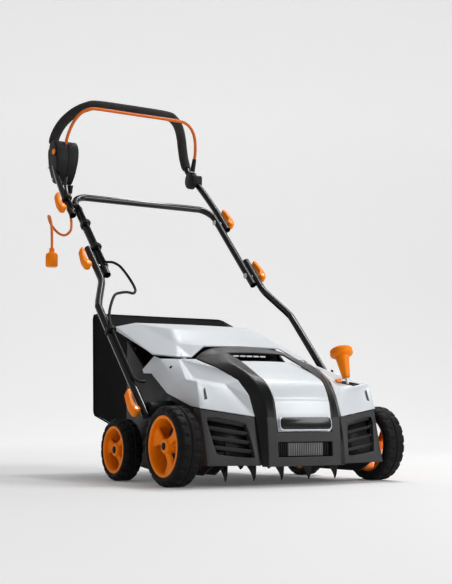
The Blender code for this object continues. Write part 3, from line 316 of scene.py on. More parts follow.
def rounded(points, radius, steps=4, closed=True):
    """Replaces each corner of an outline by a quadratic arc that starts radius before it."""
    points = [np.array(p, float) for p in points]
    count = len(points)
    result = []
    for i, corner in enumerate(points):
        if not closed and i in (0, count - 1):
            result.append(corner)
            continue
        before, after = points[i - 1], points[(i + 1) % count]
        back, ahead = before - corner, after - corner
        cut = min(radius, 0.45 * np.linalg.norm(back), 0.45 * np.linalg.norm(ahead))
        start = corner + back / np.linalg.norm(back) * cut
        end = corner + ahead / np.linalg.norm(ahead) * cut
        for t in np.linspace(0.0, 1.0, steps):
            result.append(start * (1 - t) ** 2 + corner * 2 * t * (1 - t) + end * t**2)
    return np.array(result)


def rounded_box(low, high, radius, steps=4):
    """The outline of a rectangle between two corners, with its corners rounded."""
    return rounded([low, (high[0], low[1]), high, (low[0], high[1])], radius, steps)


def turned(name, profile, centre, mat, side=1, segments=72, closed=True, soft=0.0, ripple=None):
    """Turns an (x, r) profile about the X line through centre: y = cy + r cos t, z = cz + r sin t.

    ripple(x, r, t) gives a change of radius over the whole grid.
    """
    outline = rounded(profile, soft, closed=closed) if soft else np.array(profile, float)
    angle = np.arange(segments) * TAU / segments
    x, r = outline[None, :, 0], outline[None, :, 1]
    t = angle[:, None]
    radius = r + (ripple(x, r, t) if ripple else 0.0 * t)
    grid = np.stack([np.broadcast_to(side * x, radius.shape), centre[0] + radius * np.cos(t),
                     centre[1] + radius * np.sin(t)], -1)
    faces = grid_faces(segments, len(outline), wrap_rows=True, wrap_columns=closed)
    return piece(name, placed(grid).reshape(-1, 3), faces, mat)


def slab(name, outline, origin, along, across, thickness, mat, bevel=0.0, segments=3):
    """An outline in the plane of two directions, thickened both ways along their normal."""
    outline = np.asarray(outline, float)
    origin, along, across = (np.array(v, float) for v in (origin, along, across))
    normal = np.cross(along, across)
    normal /= np.linalg.norm(normal)
    flat = origin + outline[:, :1] * along + outline[:, 1:] * across
    both = np.concatenate([flat - normal * thickness / 2, flat + normal * thickness / 2])
    count = len(outline)
    faces = end_caps(2, count)
    ring = np.arange(count)
    after = (ring + 1) % count
    faces += np.stack([ring, after, after + count, ring + count], -1).tolist()
    obj = piece(name, placed(both), faces, mat)
    return softened(obj, bevel, segments) if bevel else obj


def yz_slab(name, outline, x0, x1, mat, bevel=0.0, segments=3):
    """An outline in the YZ plane carried from x0 to x1."""
    return slab(name, outline, ((x0 + x1) / 2, 0, 0), (0, 1, 0), (0, 0, 1), abs(x1 - x0), mat,
                bevel, segments)


def block(name, low, high, mat, bevel=0.0015):
    """A rounded block between two corners."""
    outline = [(low[1], low[2]), (high[1], low[2]), (high[1], high[2]), (low[1], high[2])]
    return yz_slab(name, outline, low[0], high[0], mat, bevel, 2)


def mirrored(points, faces):
    """The sheet and its mirror image in X; points on X = 0 are shared."""
    points = np.array(points, float)
    shared = np.abs(points[:, 0]) < 1e-9
    index = np.where(shared, np.arange(len(points)), len(points) + np.cumsum(~shared) - 1)
    other = points[~shared] * (-1, 1, 1)
    turned_over = [[int(index[i]) for i in face[::-1]] for face in faces]
    return np.vstack([points, other]), faces + turned_over


def moulded(name, points, faces, mat, wall=0.0025, crease=0.75, levels=3, rim=0.0008, cutters=(),
             flow=False):
    """A moulded sheet: facets smoothed by subdivision with creased edges, then given a wall.

    With flow, folds that run across the width stay soft, so a band bends in one smooth sweep.
    """
    mesh = bpy.data.meshes.new(name)
    mesh.from_pydata(placed(points).tolist(), [], faces)
    edit = bmesh.new()
    edit.from_mesh(mesh)
    bmesh.ops.remove_doubles(edit, verts=edit.verts, dist=1e-6)
    bmesh.ops.recalc_face_normals(edit, faces=edit.faces)
    middle = Vector(CHAMBER_MIDDLE)
    outward = sum(f.calc_area() * f.normal.dot(f.calc_center_median() - middle)
                  for f in edit.faces)
    if outward < 0.0:
        bmesh.ops.reverse_faces(edit, faces=edit.faces)
    layer = edit.edges.layers.float.new("crease_edge")
    for edge in edit.edges:
        if edge.is_boundary:
            edge[layer] = 1.0
        elif flow and abs((edge.verts[0].co - edge.verts[1].co).normalized().x) > 0.4:
            edge[layer] = 0.0
        else:
            fold = edge.calc_face_angle(0.0)
            edge[layer] = crease * min(1.0, fold / math.radians(12.0)) ** 0.5
    corners = edit.verts.layers.float.new("crease_vert")
    for vert in edit.verts:
        rims = [e.other_vert(vert).co - vert.co for e in vert.link_edges if e.is_boundary]
        if len(rims) == 2 and (not flow or rims[0].angle(rims[1]) < math.radians(135.0)):
            vert[corners] = 1.0
    edit.to_mesh(mesh)
    edit.free()
    mesh.materials.append(mat)
    obj = linked(name, mesh)
    finer(obj, SUBSURF=dict(levels=levels, render_levels=levels))
    finer(obj, SOLIDIFY=dict(thickness=wall, offset=-1.0, use_even_offset=True))
    for cutter in cutters:
        finer(obj, BOOLEAN=dict(object=cutter, operation="DIFFERENCE", solver="EXACT"))
        bpy.data.objects.remove(cutter, do_unlink=True)
    if rim:
        softened(obj, rim, 2, angle=50.0)
    obj.data.shade_smooth()
    obj.data.set_sharp_from_angle(angle=math.radians(28.0))
    return obj


def merged(name, *objects):
    """One object from several."""
    edit = bmesh.new()
    mats = []
    for obj in objects:
        start = len(edit.faces)
        edit.from_mesh(obj.data)
        edit.faces.ensure_lookup_table()
        mat = obj.data.materials[0]
        if mat not in mats:
            mats.append(mat)
        slot = mats.index(mat)
        for face in edit.faces[start:]:
            face.material_index = slot
    mesh = bpy.data.meshes.new(name)
    edit.to_mesh(mesh)
    edit.free()
    for mat in mats:
        mesh.materials.append(mat)
    for obj in objects:
        bpy.data.objects.remove(obj, do_unlink=True)
    return linked(name, mesh)


def on_handle(x, along, lift=0.0):
    """A point of the handle's plane: along its tubes from the foot, lifted off its front."""
    y = HANDLE_FOOT[0] + along * HANDLE_DIR[0] - lift * HANDLE_DIR[1]
    z = HANDLE_FOOT[1] + along * HANDLE_DIR[1] + lift * HANDLE_DIR[0]
    return (x, y, z)


def stands_for(obj, body, *nodes):
    """The piece rides on a body and takes the place of CAD nodes."""
    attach(obj, body)
    if nodes:
        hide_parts(*nodes)
    return obj


def refined(node, mat, body, bevel=0.0006):
    """A carried-over solid: a merged copy with eased edges and its own finish."""
    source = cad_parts[node]
    edit = bmesh.new()
    edit.from_mesh(source.data)
    bmesh.ops.remove_doubles(edit, verts=edit.verts, dist=1e-6)
    bmesh.ops.dissolve_limit(edit, angle_limit=math.radians(0.5), verts=edit.verts,
                             edges=edit.edges)
    mesh = bpy.data.meshes.new(f"{node}_fine")
    edit.to_mesh(mesh)
    edit.free()
    mesh.materials.append(mat)
    obj = linked(f"{node}_fine", mesh)
    if bevel:
        softened(obj, bevel, 2, angle=32.0)
    return stands_for(obj, body, node)


# ---------------------------------------------------------------- cords
def make_mains_lead():
    """The short orange lead, from the gland over the upper left lever to its hanging plug."""
    knots = [
        (-0.1880, 0.7640, 0.7935), (-0.1880, 0.7640, 0.7700), (-0.1900, 0.7560, 0.7500),
        (-0.1980, 0.7380, 0.7300), (-0.2080, 0.7120, 0.7050), (-0.2150, 0.6880, 0.6780),
        (-0.2230, 0.6750, 0.6550), (-0.2370, 0.6800, 0.6420), (-0.2560, 0.6850, 0.6480),
        (-0.2780, 0.6800, 0.6680), (-0.2930, 0.6620, 0.6850), (-0.2980, 0.6400, 0.6800),
        (-0.2980, 0.6280, 0.6550), (-0.2970, 0.6260, 0.6250), (-0.2970, 0.6250, 0.5950),
    ]
    path = placed(spline(knots, 6))
    lead = sweep("mains_lead_sheath", path, CABLE_D / 2, LEAD, sides=16)
    stands_for(lead, "top_handle", "mains_lead")
    plug = make_plug()


def upright(name, profile, top, mat, segments=40, flute=0.0, flutes=8):
    """Turns a closed (height, radius) profile about the vertical through top; flute scallops it."""
    outline = np.array(profile, float)
    angle = np.arange(segments) * TAU / segments
    radius = outline[None, :, 1] * (1.0 + flute * np.cos(flutes * angle)[:, None])
    grid = np.stack([top[0] + radius * np.cos(angle)[:, None],
                     top[1] + radius * np.sin(angle)[:, None],
                     np.broadcast_to(top[2] + outline[None, :, 0], radius.shape)], -1)
    faces = grid_faces(segments, len(outline), wrap_rows=True, wrap_columns=True)
    return piece(name, placed(grid).reshape(-1, 3), faces, mat)


def make_plug():
    """A moulded plug: ribbed neck, shouldered body with grip flutes, flat face."""
    neck = [(-0.0005, 0.0042)]
    for i in range(5):
        neck += [(-0.0005 - 0.0020 * i, 0.0074), (-0.0015 - 0.0020 * i, 0.0064)]
    body = [(-0.0115, 0.0095), (-0.0150, 0.0150), (-0.0200, 0.0162), (-0.0440, 0.0163),
            (-0.0480, 0.0155), (-0.0500, 0.0140), (-0.0500, 0.0001), (-0.0044, 0.0001),
            (-0.0040, 0.0040)]
    plug = upright("mains_plug_body", neck + body, (-0.2970, 0.6250, 0.5945), ORANGE, 48, 0.012, 12)
    return stands_for(plug, "top_handle", "mains_plug")


make_mains_lead()


# ---------------------------------------------------------------- silver shells
HOOD_POINTS = [
    (-0.1165, -0.0945, 0.1515), (-0.2365, -0.0660, 0.1690), (-0.2350, -0.0490, 0.2265),
    (-0.1560, -0.0330, 0.2210), (-0.1180, -0.0740, 0.1970), (-0.1260, -0.0420, 0.2300),
    (-0.1440, 0.0200, 0.2590), (-0.1500, 0.0620, 0.2710), (-0.1530, 0.1010, 0.2820),
    (-0.2360, -0.0270, 0.1730), (-0.2320, 0.0920, 0.2031), (-0.2280, 0.1780, 0.2507),
    (-0.2250, 0.2230, 0.2520), (-0.2240, 0.2310, 0.2608), (-0.2160, 0.1880, 0.2905),
    (-0.2120, 0.1640, 0.2840), (-0.2350, 0.0460, 0.2204), (-0.2360, -0.0019, 0.2324),
    (-0.1815, 0.1270, 0.2826), (-0.1950, 0.0400, 0.2345),
]
HOOD_FACES = [
    [0, 1, 2, 3], [0, 3, 4], [4, 3, 5], [1, 9, 17, 2], [9, 10, 16, 17], [2, 17, 19, 3],
    [10, 11, 15, 16], [11, 12, 13, 14, 15], [16, 15, 18, 17], [17, 18, 19], [19, 18, 3],
    [5, 3, 18, 6], [6, 18, 7], [7, 18, 8],
]
LEVER_SLOT = ((0.1915, 0.2095), (-0.037, 0.022))


def make_hood():
    """The faceted body shell, mirrored, with the depth lever's slot cut through it."""
    (x0, x1), (y0, y1) = LEVER_SLOT
    outline = rounded_box((x0, y0), (x1, y1), 0.006)
    cutter = slab("lever_slot_cut", outline, (0, 0, 0.225), (1, 0, 0), (0, 1, 0), 0.05, SILVER)
    points, faces = mirrored(HOOD_POINTS, HOOD_FACES)
    hood = moulded("hood_shell", points, faces, SILVER, crease=0.97, levels=4, cutters=[cutter])
    stands_for(hood, "chassis", "hood")


def make_flap():
    """The faceted flap shell with its two hinge lugs."""
    points = [
        (-0.2160, 0.1960, 0.2970), (-0.1815, 0.1390, 0.2895), (-0.1510, 0.1250, 0.2885),
        (-0.1060, 0.1450, 0.3170), (-0.1520, 0.1970, 0.3225), (-0.1240, 0.2700, 0.3638),
        (-0.2165, 0.3920, 0.3640), (-0.2110, 0.4060, 0.3750), (-0.1650, 0.3880, 0.3850),
        (0.0, 0.1480, 0.3190), (0.0, 0.2720, 0.3660), (0.0, 0.3980, 0.3870),
    ]
    faces = [
        [3, 9, 10, 5, 4], [5, 10, 11, 8], [4, 5, 8], [2, 3, 4], [1, 2, 4], [0, 1, 4],
        [0, 4, 8, 7], [0, 7, 6],
    ]
    points, faces = mirrored(points, faces)
    flap = moulded("flap_shell", points, faces, SILVER, wall=0.003, crease=0.97, levels=4)
    lugs = []
    for side in (-1, 1):
        outline = [(0.143, 0.284), (0.137, 0.278), (0.131, 0.284), (0.133, 0.289), (0.147, 0.2975)]
        lugs.append(yz_slab(f"lug_{side}", rounded(outline, 0.003), side * 0.160, side * 0.168,
                            SILVER, 0.0006))
    stands_for(merged("rear_flap_shell", flap, *lugs), "flap", "rear_flap")


PANEL_SEAM_Z = 0.1880


def make_centre_panel():
    """Profile carried across the width, crowned by a parabola, with a pressed seam line."""
    profile = [(-0.1185, 0.1175), (-0.1175, 0.135), (-0.1145, 0.160), (-0.1060, 0.1912),
               (-0.0830, 0.2235), (-0.0510, 0.2420), (-0.0080, 0.2590), (0.0385, 0.2765)]
    widths = [0.0690, 0.0715, 0.0725, 0.0730, 0.0765, 0.0785, 0.0790, 0.0720]
    rows = spline([(y, z, w) for (y, z), w in zip(profile, widths)], 16)
    across = np.linspace(-1.0, 1.0, 41)
    crown = 0.004 * (1.0 - across**2)
    depth = -0.0016 * np.exp(-((rows[:, 1] - PANEL_SEAM_Z) / 0.0011) ** 2)
    y = rows[:, :1] + 0.002 - crown[None] - depth[:, None]
    z = rows[:, 1:2] + 0.25 * crown[None]
    grid = np.stack([rows[:, 2:] * across[None], y, z], -1)
    panel = piece("centre_panel_face", placed(grid).reshape(-1, 3), grid_faces(*grid.shape[:2]),
                  SILVER)
    face_outward(panel)
    finer(panel, SOLIDIFY=dict(thickness=0.0025, offset=-1.0))
    panel.data.shade_smooth()
    panel.data.set_sharp_from_angle(angle=math.radians(40.0))
    stands_for(panel, "chassis", "centre_panel")


def face_outward(obj):
    """Turns a sheet's faces away from the middle of the reel chamber."""
    middle = Vector(CHAMBER_MIDDLE)
    faces = obj.data.polygons
    if sum(f.area * f.normal.dot(Vector(f.center) - middle) for f in faces) < 0.0:
        obj.data.flip_normals()


make_hood()
make_flap()
make_centre_panel()

# ---------------------------------------------------------------- black trim and front
TRIM_ROWS = [
    ((-0.1100, -0.1160, 0.0430), (-0.0960, -0.1205, 0.0430), (-0.0720, -0.1225, 0.0430)),
    ((-0.1105, -0.1140, 0.0630), (-0.0960, -0.1200, 0.0630), (-0.0720, -0.1225, 0.0630)),
    ((-0.1120, -0.1090, 0.0955), (-0.0960, -0.1180, 0.0955), (-0.0725, -0.1210, 0.0955)),
    ((-0.1130, -0.1040, 0.1165), (-0.0960, -0.1165, 0.1165), (-0.0725, -0.1195, 0.1165)),
    ((-0.1140, -0.0955, 0.1510), (-0.0960, -0.1130, 0.1530), (-0.0740, -0.1150, 0.1510)),
    ((-0.1155, -0.0745, 0.1965), (-0.0970, -0.0960, 0.1965), (-0.0745, -0.1065, 0.1910)),
    ((-0.1235, -0.0420, 0.2310), (-0.1000, -0.0640, 0.2340), (-0.0780, -0.0820, 0.2265)),
    ((-0.1410, 0.0200, 0.2600), (-0.1080, -0.0100, 0.2640), (-0.0805, -0.0300, 0.2545)),
    ((-0.1450, 0.0620, 0.2720), (-0.1100, 0.0400, 0.2810), (-0.0740, 0.0400, 0.2825)),
]


def make_trim():
    """The black band from the front foot up over the body, with charcoal lower faces."""
    points = [p for row in TRIM_ROWS for p in row]
    points += [(-0.1480, 0.1100, 0.2845), (-0.1040, 0.1395, 0.3141), (-0.0780, 0.0847, 0.2985)]
    points += [
        (0.0, -0.1245, 0.0430), (0.0, -0.1245, 0.0630), (0.0, -0.1225, 0.0955),
        (0.0, -0.1210, 0.1165), (0.0, 0.1420, 0.3165), (0.0, 0.0847, 0.3005),
    ]
    rows = len(TRIM_ROWS)
    faces = []
    for i in range(rows - 1):
        a, b = 3 * i, 3 * i + 3
        faces += [[a, b, b + 1, a + 1], [a + 1, b + 1, b + 2, a + 2]]
    corner, top, lip = 3 * rows, 3 * rows + 1, 3 * rows + 2
    last = 3 * rows - 3
    c0, c1, c2, c3, rear, front = range(3 * rows + 3, 3 * rows + 9)
    faces += [[last, corner, lip, last + 1], [last + 1, lip, last + 2], [corner, top, lip],
              [top, rear, front, lip], [2, 5, c1, c0], [8, 11, c3, c2]]
    points, faces = mirrored(points, faces)
    trim = moulded("trim_shell", points, faces, GLOSS, wall=0.004, crease=0.92, rim=0.0012,
                   flow=True)
    trim.data.materials.append(CHARCOAL)
    for face in trim.data.polygons:
        if abs(face.center.x) < 0.0962 and face.center.z < 0.150:
            face.material_index = 1
    stands_for(trim, "chassis", "trim_band")


def make_top_slot():
    """The dark opening under the trim's lip: a sunk tray with five pale louvres."""
    tray = slab("tray", rounded_box((-0.070, -0.026), (0.070, 0.024), 0.006), (0, 0.0640, 0.2720),
                (1, 0, 0), (0, 0.94, 0.34), 0.0024, DARK_GLASSY, 0.0006)
    bars = []
    for i in range(5):
        x = -0.0605 + 0.0185 * i
        bars.append(block(f"bar_{i}", (x - 0.0072, 0.0730, 0.2885), (x + 0.0072, 0.0760, 0.2920),
                          SLOT_WHITE, 0.0006))
    stands_for(merged("top_slot_louvres", tray, *bars), "chassis")


def make_badge():
    """A plain black plate with rounded lower corners inside a thin silver edging."""
    def plate(name, grow, depth, mat, thickness):
        outline = rounded([(-0.0674 - grow, 0.0135), (-0.0674 - grow, -0.0130 - grow),
                           (0.0674 + grow, -0.0130 - grow), (0.0674 + grow, 0.0135)], 0.010, 8)
        return slab(name, outline, (0, -0.1222 + depth, 0.1355), (1, 0, 0), (0, 0.125, 0.992),
                    thickness, mat, 0.0004, 2)
    badge = merged("badge_plain", plate("edging", 0.0022, 0.0004, EDGING, 0.0016),
                   plate("face", 0.0, 0.0, DARK_GLASSY, 0.0022))
    stands_for(badge, "chassis", "badge_plate")


BUMPER_BORDER = [(-0.1150, -0.0925, 0.1485), (-0.2345, -0.0640, 0.1660), (-0.2330, -0.0955, 0.0470),
                 (-0.1115, -0.1110, 0.0455)]
VENT = [(-0.1353, -0.0915, 0.1360), (-0.2250, -0.0690, 0.1530), (-0.2110, -0.0935, 0.0700),
        (-0.1230, -0.1110, 0.0610)]


def make_bumper():
    """The fascia frames: the vent openings have rounded corners and a turned-in lip."""
    points = BUMPER_BORDER + VENT + [
        (-0.2365, -0.0400, 0.1690), (-0.2350, -0.0480, 0.0470),
        (-0.1150, -0.0855, 0.1485), (-0.1115, -0.0960, 0.0455),
        (0.0, -0.0855, 0.1485), (0.0, -0.0960, 0.0455),
    ]
    faces = [[0, 1, 5, 4], [1, 2, 6, 5], [2, 3, 7, 6], [3, 0, 4, 7], [1, 8, 9, 2],
             [0, 3, 11, 10], [10, 11, 13, 12]]
    lip = len(points)
    points = points + [tuple(np.array(p) + (0, 0.0075, 0)) for p in VENT]
    for i in range(4):
        j = (i + 1) % 4
        faces.append([4 + i, 4 + j, lip + j, lip + i])
    points, faces = mirrored(points, faces)
    bumper = moulded("bumper_shell", points, faces, CHARCOAL, wall=0.0022, crease=0.97, levels=2,
                     rim=0.0009)
    stands_for(bumper, "chassis", "front_bumper")


def make_vent_grille(label, side):
    """Four louvre blades, each a flat oval section carried from the inner to the outer stile."""
    inner_top, outer_top, outer_low, inner_low = [
        np.array((side * -x, y + 0.0050, z)) for x, y, z in VENT]
    blades = []
    for i, row in enumerate((0.05, 0.30, 0.55, 0.80)):
        start = inner_top + (inner_low - inner_top) * row
        end = outer_top + (outer_low - outer_top) * row
        path = start + (end - start) * np.linspace(-0.03, 1.03, 12)[:, None]
        section = rounded([(-0.0014, 0.0034), (0.0014, 0.0026), (0.0075, -0.0046),
                           (0.0048, -0.0052)], 0.0009)
        grid = path[:, None] + np.stack([0 * section[:, 0], section[:, 0], section[:, 1]], -1)[None]
        rows, columns = grid.shape[:2]
        faces = grid_faces(rows, columns, wrap_columns=True)
        faces += end_caps(rows, columns)
        blades.append(piece(f"blade_{label}_{i}", placed(grid).reshape(-1, 3), faces, CHARCOAL))
    posts = []
    for t in (0.015, 0.985):
        a = inner_top + (outer_top - inner_top) * t
        b = inner_low + (outer_low - inner_low) * t
        path = placed(np.linspace(a, b, 6) + (0, 0.004, 0))
        posts.append(sweep(f"post_{label}_{t}", path, 0.0028, BLACK, sides=12))
    grille = merged(f"vent_louvres_{label}", *blades, *posts)
    stands_for(grille, "chassis", f"vent_grille_{label}")


def make_vent_shade_backing():
    """Painted shade: a dark wall behind each set of louvres, so that the opening reads as deep."""
    walls = []
    for side in (-1, 1):
        # painted shade: these black sheets stand for the shade deep inside the vent openings
        quad = [np.array((side * -x, y + 0.0165, z)) for x, y, z in VENT]
        sheet = piece(f"painted_shade_wall_{side}", placed(quad), [[0, 1, 2, 3]], BLACK)
        face_outward(sheet)
        walls.append(finer(sheet, SOLIDIFY=dict(thickness=0.0012, offset=-1.0)))
    stands_for(merged("vent_painted_shade_walls", *walls), "chassis")


def make_intake():
    """Upright fins on a back plate; the middle ones are grey, those towards the left and right ends
    are black as painted shade at the ends of the recess.
    """
    back = block("back", (-0.0735, -0.1120, 0.0610), (0.0735, -0.1102, 0.0975), BLACK, 0.0005)
    fins = []
    count = 27
    for i in range(count):
        x = -0.0660 + 0.1270 * i / (count - 1)
        # painted shade: fins beyond the grey middle span take black plastic for the shade at the
        # recess ends
        grey = -0.0440 < x < 0.0500
        fins.append(block(f"fin_{i}", (x - 0.0014, -0.1168, 0.0650), (x + 0.0014, -0.1112, 0.0935),
                          FIN_GREY if grey else BLACK, 0.0005))
    stands_for(merged("intake_fins", back, *fins), "chassis", "intake_grille")


make_trim()
make_top_slot()
make_badge()
make_bumper()
for side_name, side_sign in SIDES:
    make_vent_grille(side_name, side_sign)
make_vent_shade_backing()
make_intake()


# ---------------------------------------------------------------- wheels
def make_tyre(label, body, spec, side):
    """Tread: radius drops by a groove depth on a stepped pattern of angle and width."""
    x_in, x_out, rim, r = spec["x_in"], spec["x_out"], spec["rim"], spec["r"]
    middle, half = (x_in + x_out) / 2, (x_out - x_in) / 2
    blocks = spec["blocks"]
    outer = [(x_out - 0.0030, rim + 0.0003), (x_out - 0.0006, rim + 0.003), (x_out, rim + 0.007),
             (x_out, r - 0.012), (x_out - 0.002, r - 0.005), (x_out - 0.007, r - 0.0008)]
    tread = [(x, r) for x in np.linspace(x_out - 0.010, x_in + 0.010, 19)]
    inner = [(x_in + x_out - x, radius) for x, radius in outer[::-1]]
    profile = outer + tread + inner

    def ripple(x, radius, t):
        reach = np.abs(x - middle) / half
        wave = np.cos(blocks * t + np.where(x > middle, 0.0, math.pi))
        notch = 1.0 / (1.0 + np.exp(-14.0 * (wave - 0.62)))
        shoulder = 1.0 / (1.0 + np.exp(-26.0 * (reach - 0.30)))
        band = np.exp(-(reach / 0.07) ** 2)
        near_tread = np.clip((radius - (r - 0.013)) / 0.008, 0.0, 1.0)
        return -0.0030 * np.maximum(notch * shoulder * near_tread, 0.8 * band * near_tread)

    tyre = turned(f"{label}_tyre_tread", profile, (spec["y"], r), TYRE, side, 240, ripple=ripple)
    stands_for(tyre, body, f"{label}_tyre")


def make_rim(label, body, spec, side):
    """A dished three-spoke rim: barrel and lip turned, spokes as tapered lofts, hub with a cap."""
    x_in, x_out, rim = spec["x_in"], spec["x_out"], spec["rim"]
    centre = (spec["y"], spec["r"])
    lip = x_out - 0.0015
    barrel = [(x_in + 0.006, rim), (lip - 0.001, rim), (lip, rim - 0.0012), (lip, rim - 0.0055),
              (lip - 0.003, rim - 0.0075), (x_out - 0.014, rim - 0.0085),
              (x_in + 0.006, rim - 0.0060)]
    parts = [turned(f"{label}_barrel", barrel, centre, ORANGE, side, 96, soft=0.0012)]
    hub = [(x_in + 0.003, 0.0056), (x_in + 0.003, 0.0130), (x_out - 0.020, 0.0170),
           (x_out - 0.0085, 0.0165), (x_out - 0.0050, 0.0140), (x_out - 0.0050, 0.0056)]
    parts.append(turned(f"{label}_hub", hub, centre, ORANGE, side, 64, soft=0.0015))
    inner_r, outer_r = 0.0135, rim - 0.0050
    s = np.linspace(0.0, 1.0, 22)[:, None]
    radius = inner_r + (outer_r - inner_r) * s
    half_angle = 0.62 - 0.30 * np.sin(math.pi * np.minimum(s, 1.0) ** 0.8) + 0.02 * s
    half_width = radius * np.sin(half_angle) * (1.0 - 0.12 * s)
    face = x_out - 0.0085 - 0.0065 * np.sin(math.pi * s)
    section = rounded([(-1, 0), (-0.86, 1), (0.86, 1), (1, 0), (0.8, -1), (-0.8, -1)], 0.22, 3)
    for k in range(3):
        turn = spec["turn"] + TAU * k / 3
        u = half_width * section[None, :, 0]
        x = face + 0.0048 * (section[None, :, 1] - 1.0)
        y = radius * math.cos(turn) - u * math.sin(turn)
        z = radius * math.sin(turn) + u * math.cos(turn)
        grid = np.stack([side * x + 0 * y, centre[0] + y, centre[1] + z], -1)
        rows, columns = grid.shape[:2]
        faces = grid_faces(rows, columns, wrap_columns=True)
        faces += end_caps(rows, columns)
        parts.append(piece(f"{label}_spoke_{k}", placed(grid).reshape(-1, 3), faces, ORANGE))
    cap = [(x_out - 0.0062, 0.0), (x_out - 0.0062, 0.0085), (x_out - 0.0040, 0.0082),
           (x_out - 0.0024, 0.0060), (x_out - 0.0020, 0.0)]
    parts.append(turned(f"{label}_cap", cap, centre, BLACK, side, 48, closed=False))
    made = merged(f"{label}_rim_spoked", *parts)
    stands_for(made, body, f"{label}_rim")


WHEELS = {
    "front": dict(y=-0.013, r=0.087, rim=0.0665, x_in=0.245, x_out=0.300, blocks=22, turn=0.35),
    "rear": dict(y=0.264, r=0.0725, rim=0.0555, x_in=0.237, x_out=0.285, blocks=18, turn=0.15),
}
for axle, wheel in WHEELS.items():
    for side_name, side_sign in SIDES:
        make_tyre(f"{axle}_{side_name}", f"{axle}_{side_name}_wheel", wheel, side_sign)
        make_rim(f"{axle}_{side_name}", f"{axle}_{side_name}_wheel", wheel, side_sign)


# ---------------------------------------------------------------- reel and drive
def tine_outline(turn):
    """Two hooked thorns back to back: a bowed front edge down to the tip, a hollow back edge.

    Both edges are cubic curves through their knots; the second thorn is the first turned 180 deg.
    """
    front = spline([(-0.0180, 0.0100), (-0.0185, 0.0220), (-0.0180, 0.0340), (-0.0165, 0.0460),
                    (-0.0130, 0.0550), (-0.0085, 0.0605)], 5)
    back = spline([(-0.0085, 0.0605), (-0.0060, 0.0540), (-0.0010, 0.0460), (0.0070, 0.0380),
                   (0.0180, 0.0300), (0.0290, 0.0220), (0.0340, 0.0120)], 5)[1:]
    half = np.vstack([front, back])
    both = []
    for flip in (0.0, math.pi):
        c, s = math.cos(turn + flip), math.sin(turn + flip)
        y = half[:, 0] * c - half[:, 1] * s
        z = half[:, 0] * s + half[:, 1] * c
        both.append(np.stack([REEL[0] + y, REEL[1] - z], -1))
    return np.vstack(both)[::-1]


def make_reel():
    """A sleeve with nine pairs of hooked tines, every other pair turned a quarter, and collars."""
    sleeve = [(-0.165, 0.0063), (-0.165, 0.0125), (0.165, 0.0125), (0.165, 0.0063)]
    parts = [turned("sleeve", sleeve, REEL, TINE, 1, 48, soft=0.0008)]
    for i in range(9):
        x = (i - 4) * 0.037
        outline = tine_outline(0.0 if i % 2 == 0 else math.pi / 2)
        parts.append(yz_slab(f"tine_{i}", outline, x - 0.0012, x + 0.0012, TINE, 0.0004, 1))
        collar = [(x - 0.0045, 0.0120), (x - 0.0045, 0.0170), (x - 0.0020, 0.0185),
                  (x + 0.0020, 0.0185), (x + 0.0045, 0.0170), (x + 0.0045, 0.0120)]
        parts.append(turned(f"collar_{i}", collar, REEL, TINE, 1, 32))
    stands_for(merged("tine_reel_blades", *parts), "reel", "tine_reel")


make_reel()
refined("chassis_deck", BLACK, "chassis", 0.0008)
refined("motor_can", CASTING, "chassis", 0.0010)
refined("drive_belt", BELT, "chassis", 0.0)
refined("reel_bearing_left", STEEL, "chassis", 0.0005)
refined("reel_bearing_right", STEEL, "chassis", 0.0005)
refined("reel_shaft", STEEL, "reel", 0.0005)
refined("reel_pulley", CASTING, "reel", 0.0003)
refined("motor_shaft", STEEL, "rotor", 0.0005)
refined("cooling_fan", BLACK, "rotor", 0.0003)
refined("drive_pulley", CASTING, "rotor", 0.0003)


def make_axles():
    """The cranked front axle is a bar bent twice each side; the rear one is straight."""
    front = WHEELS["front"]
    crank_x = 0.2215
    end = front["x_out"] - 0.006
    route = [(-end, front["y"], front["r"]), (-crank_x, front["y"], front["r"]), (-crank_x, *CRANK),
             (crank_x, *CRANK), (crank_x, front["y"], front["r"]), (end, front["y"], front["r"])]
    bar = sweep("front_axle_bar", placed(rounded(route, 0.007, 8, closed=False)), 0.005, STEEL, 24)
    stands_for(bar, "depth_crank", "front_axle")
    rear = WHEELS["rear"]
    end = rear["x_out"] - 0.006
    bar = [(-end, 0.0), (-end, 0.0040), (-end + 0.001, 0.005), (end - 0.001, 0.005), (end, 0.0040),
           (end, 0.0)]
    bar = turned("rear_axle_bar", bar, (rear["y"], rear["r"]), STEEL, 1, 32, closed=False)
    stands_for(bar, "chassis", "rear_axle")


# ---------------------------------------------------------------- depth lever
LEVER_FOOT = np.array((0.197, *CRANK))
LEVER_DIR = np.array((0.03, 0.325, 0.945)) / np.linalg.norm((0.03, 0.325, 0.945))


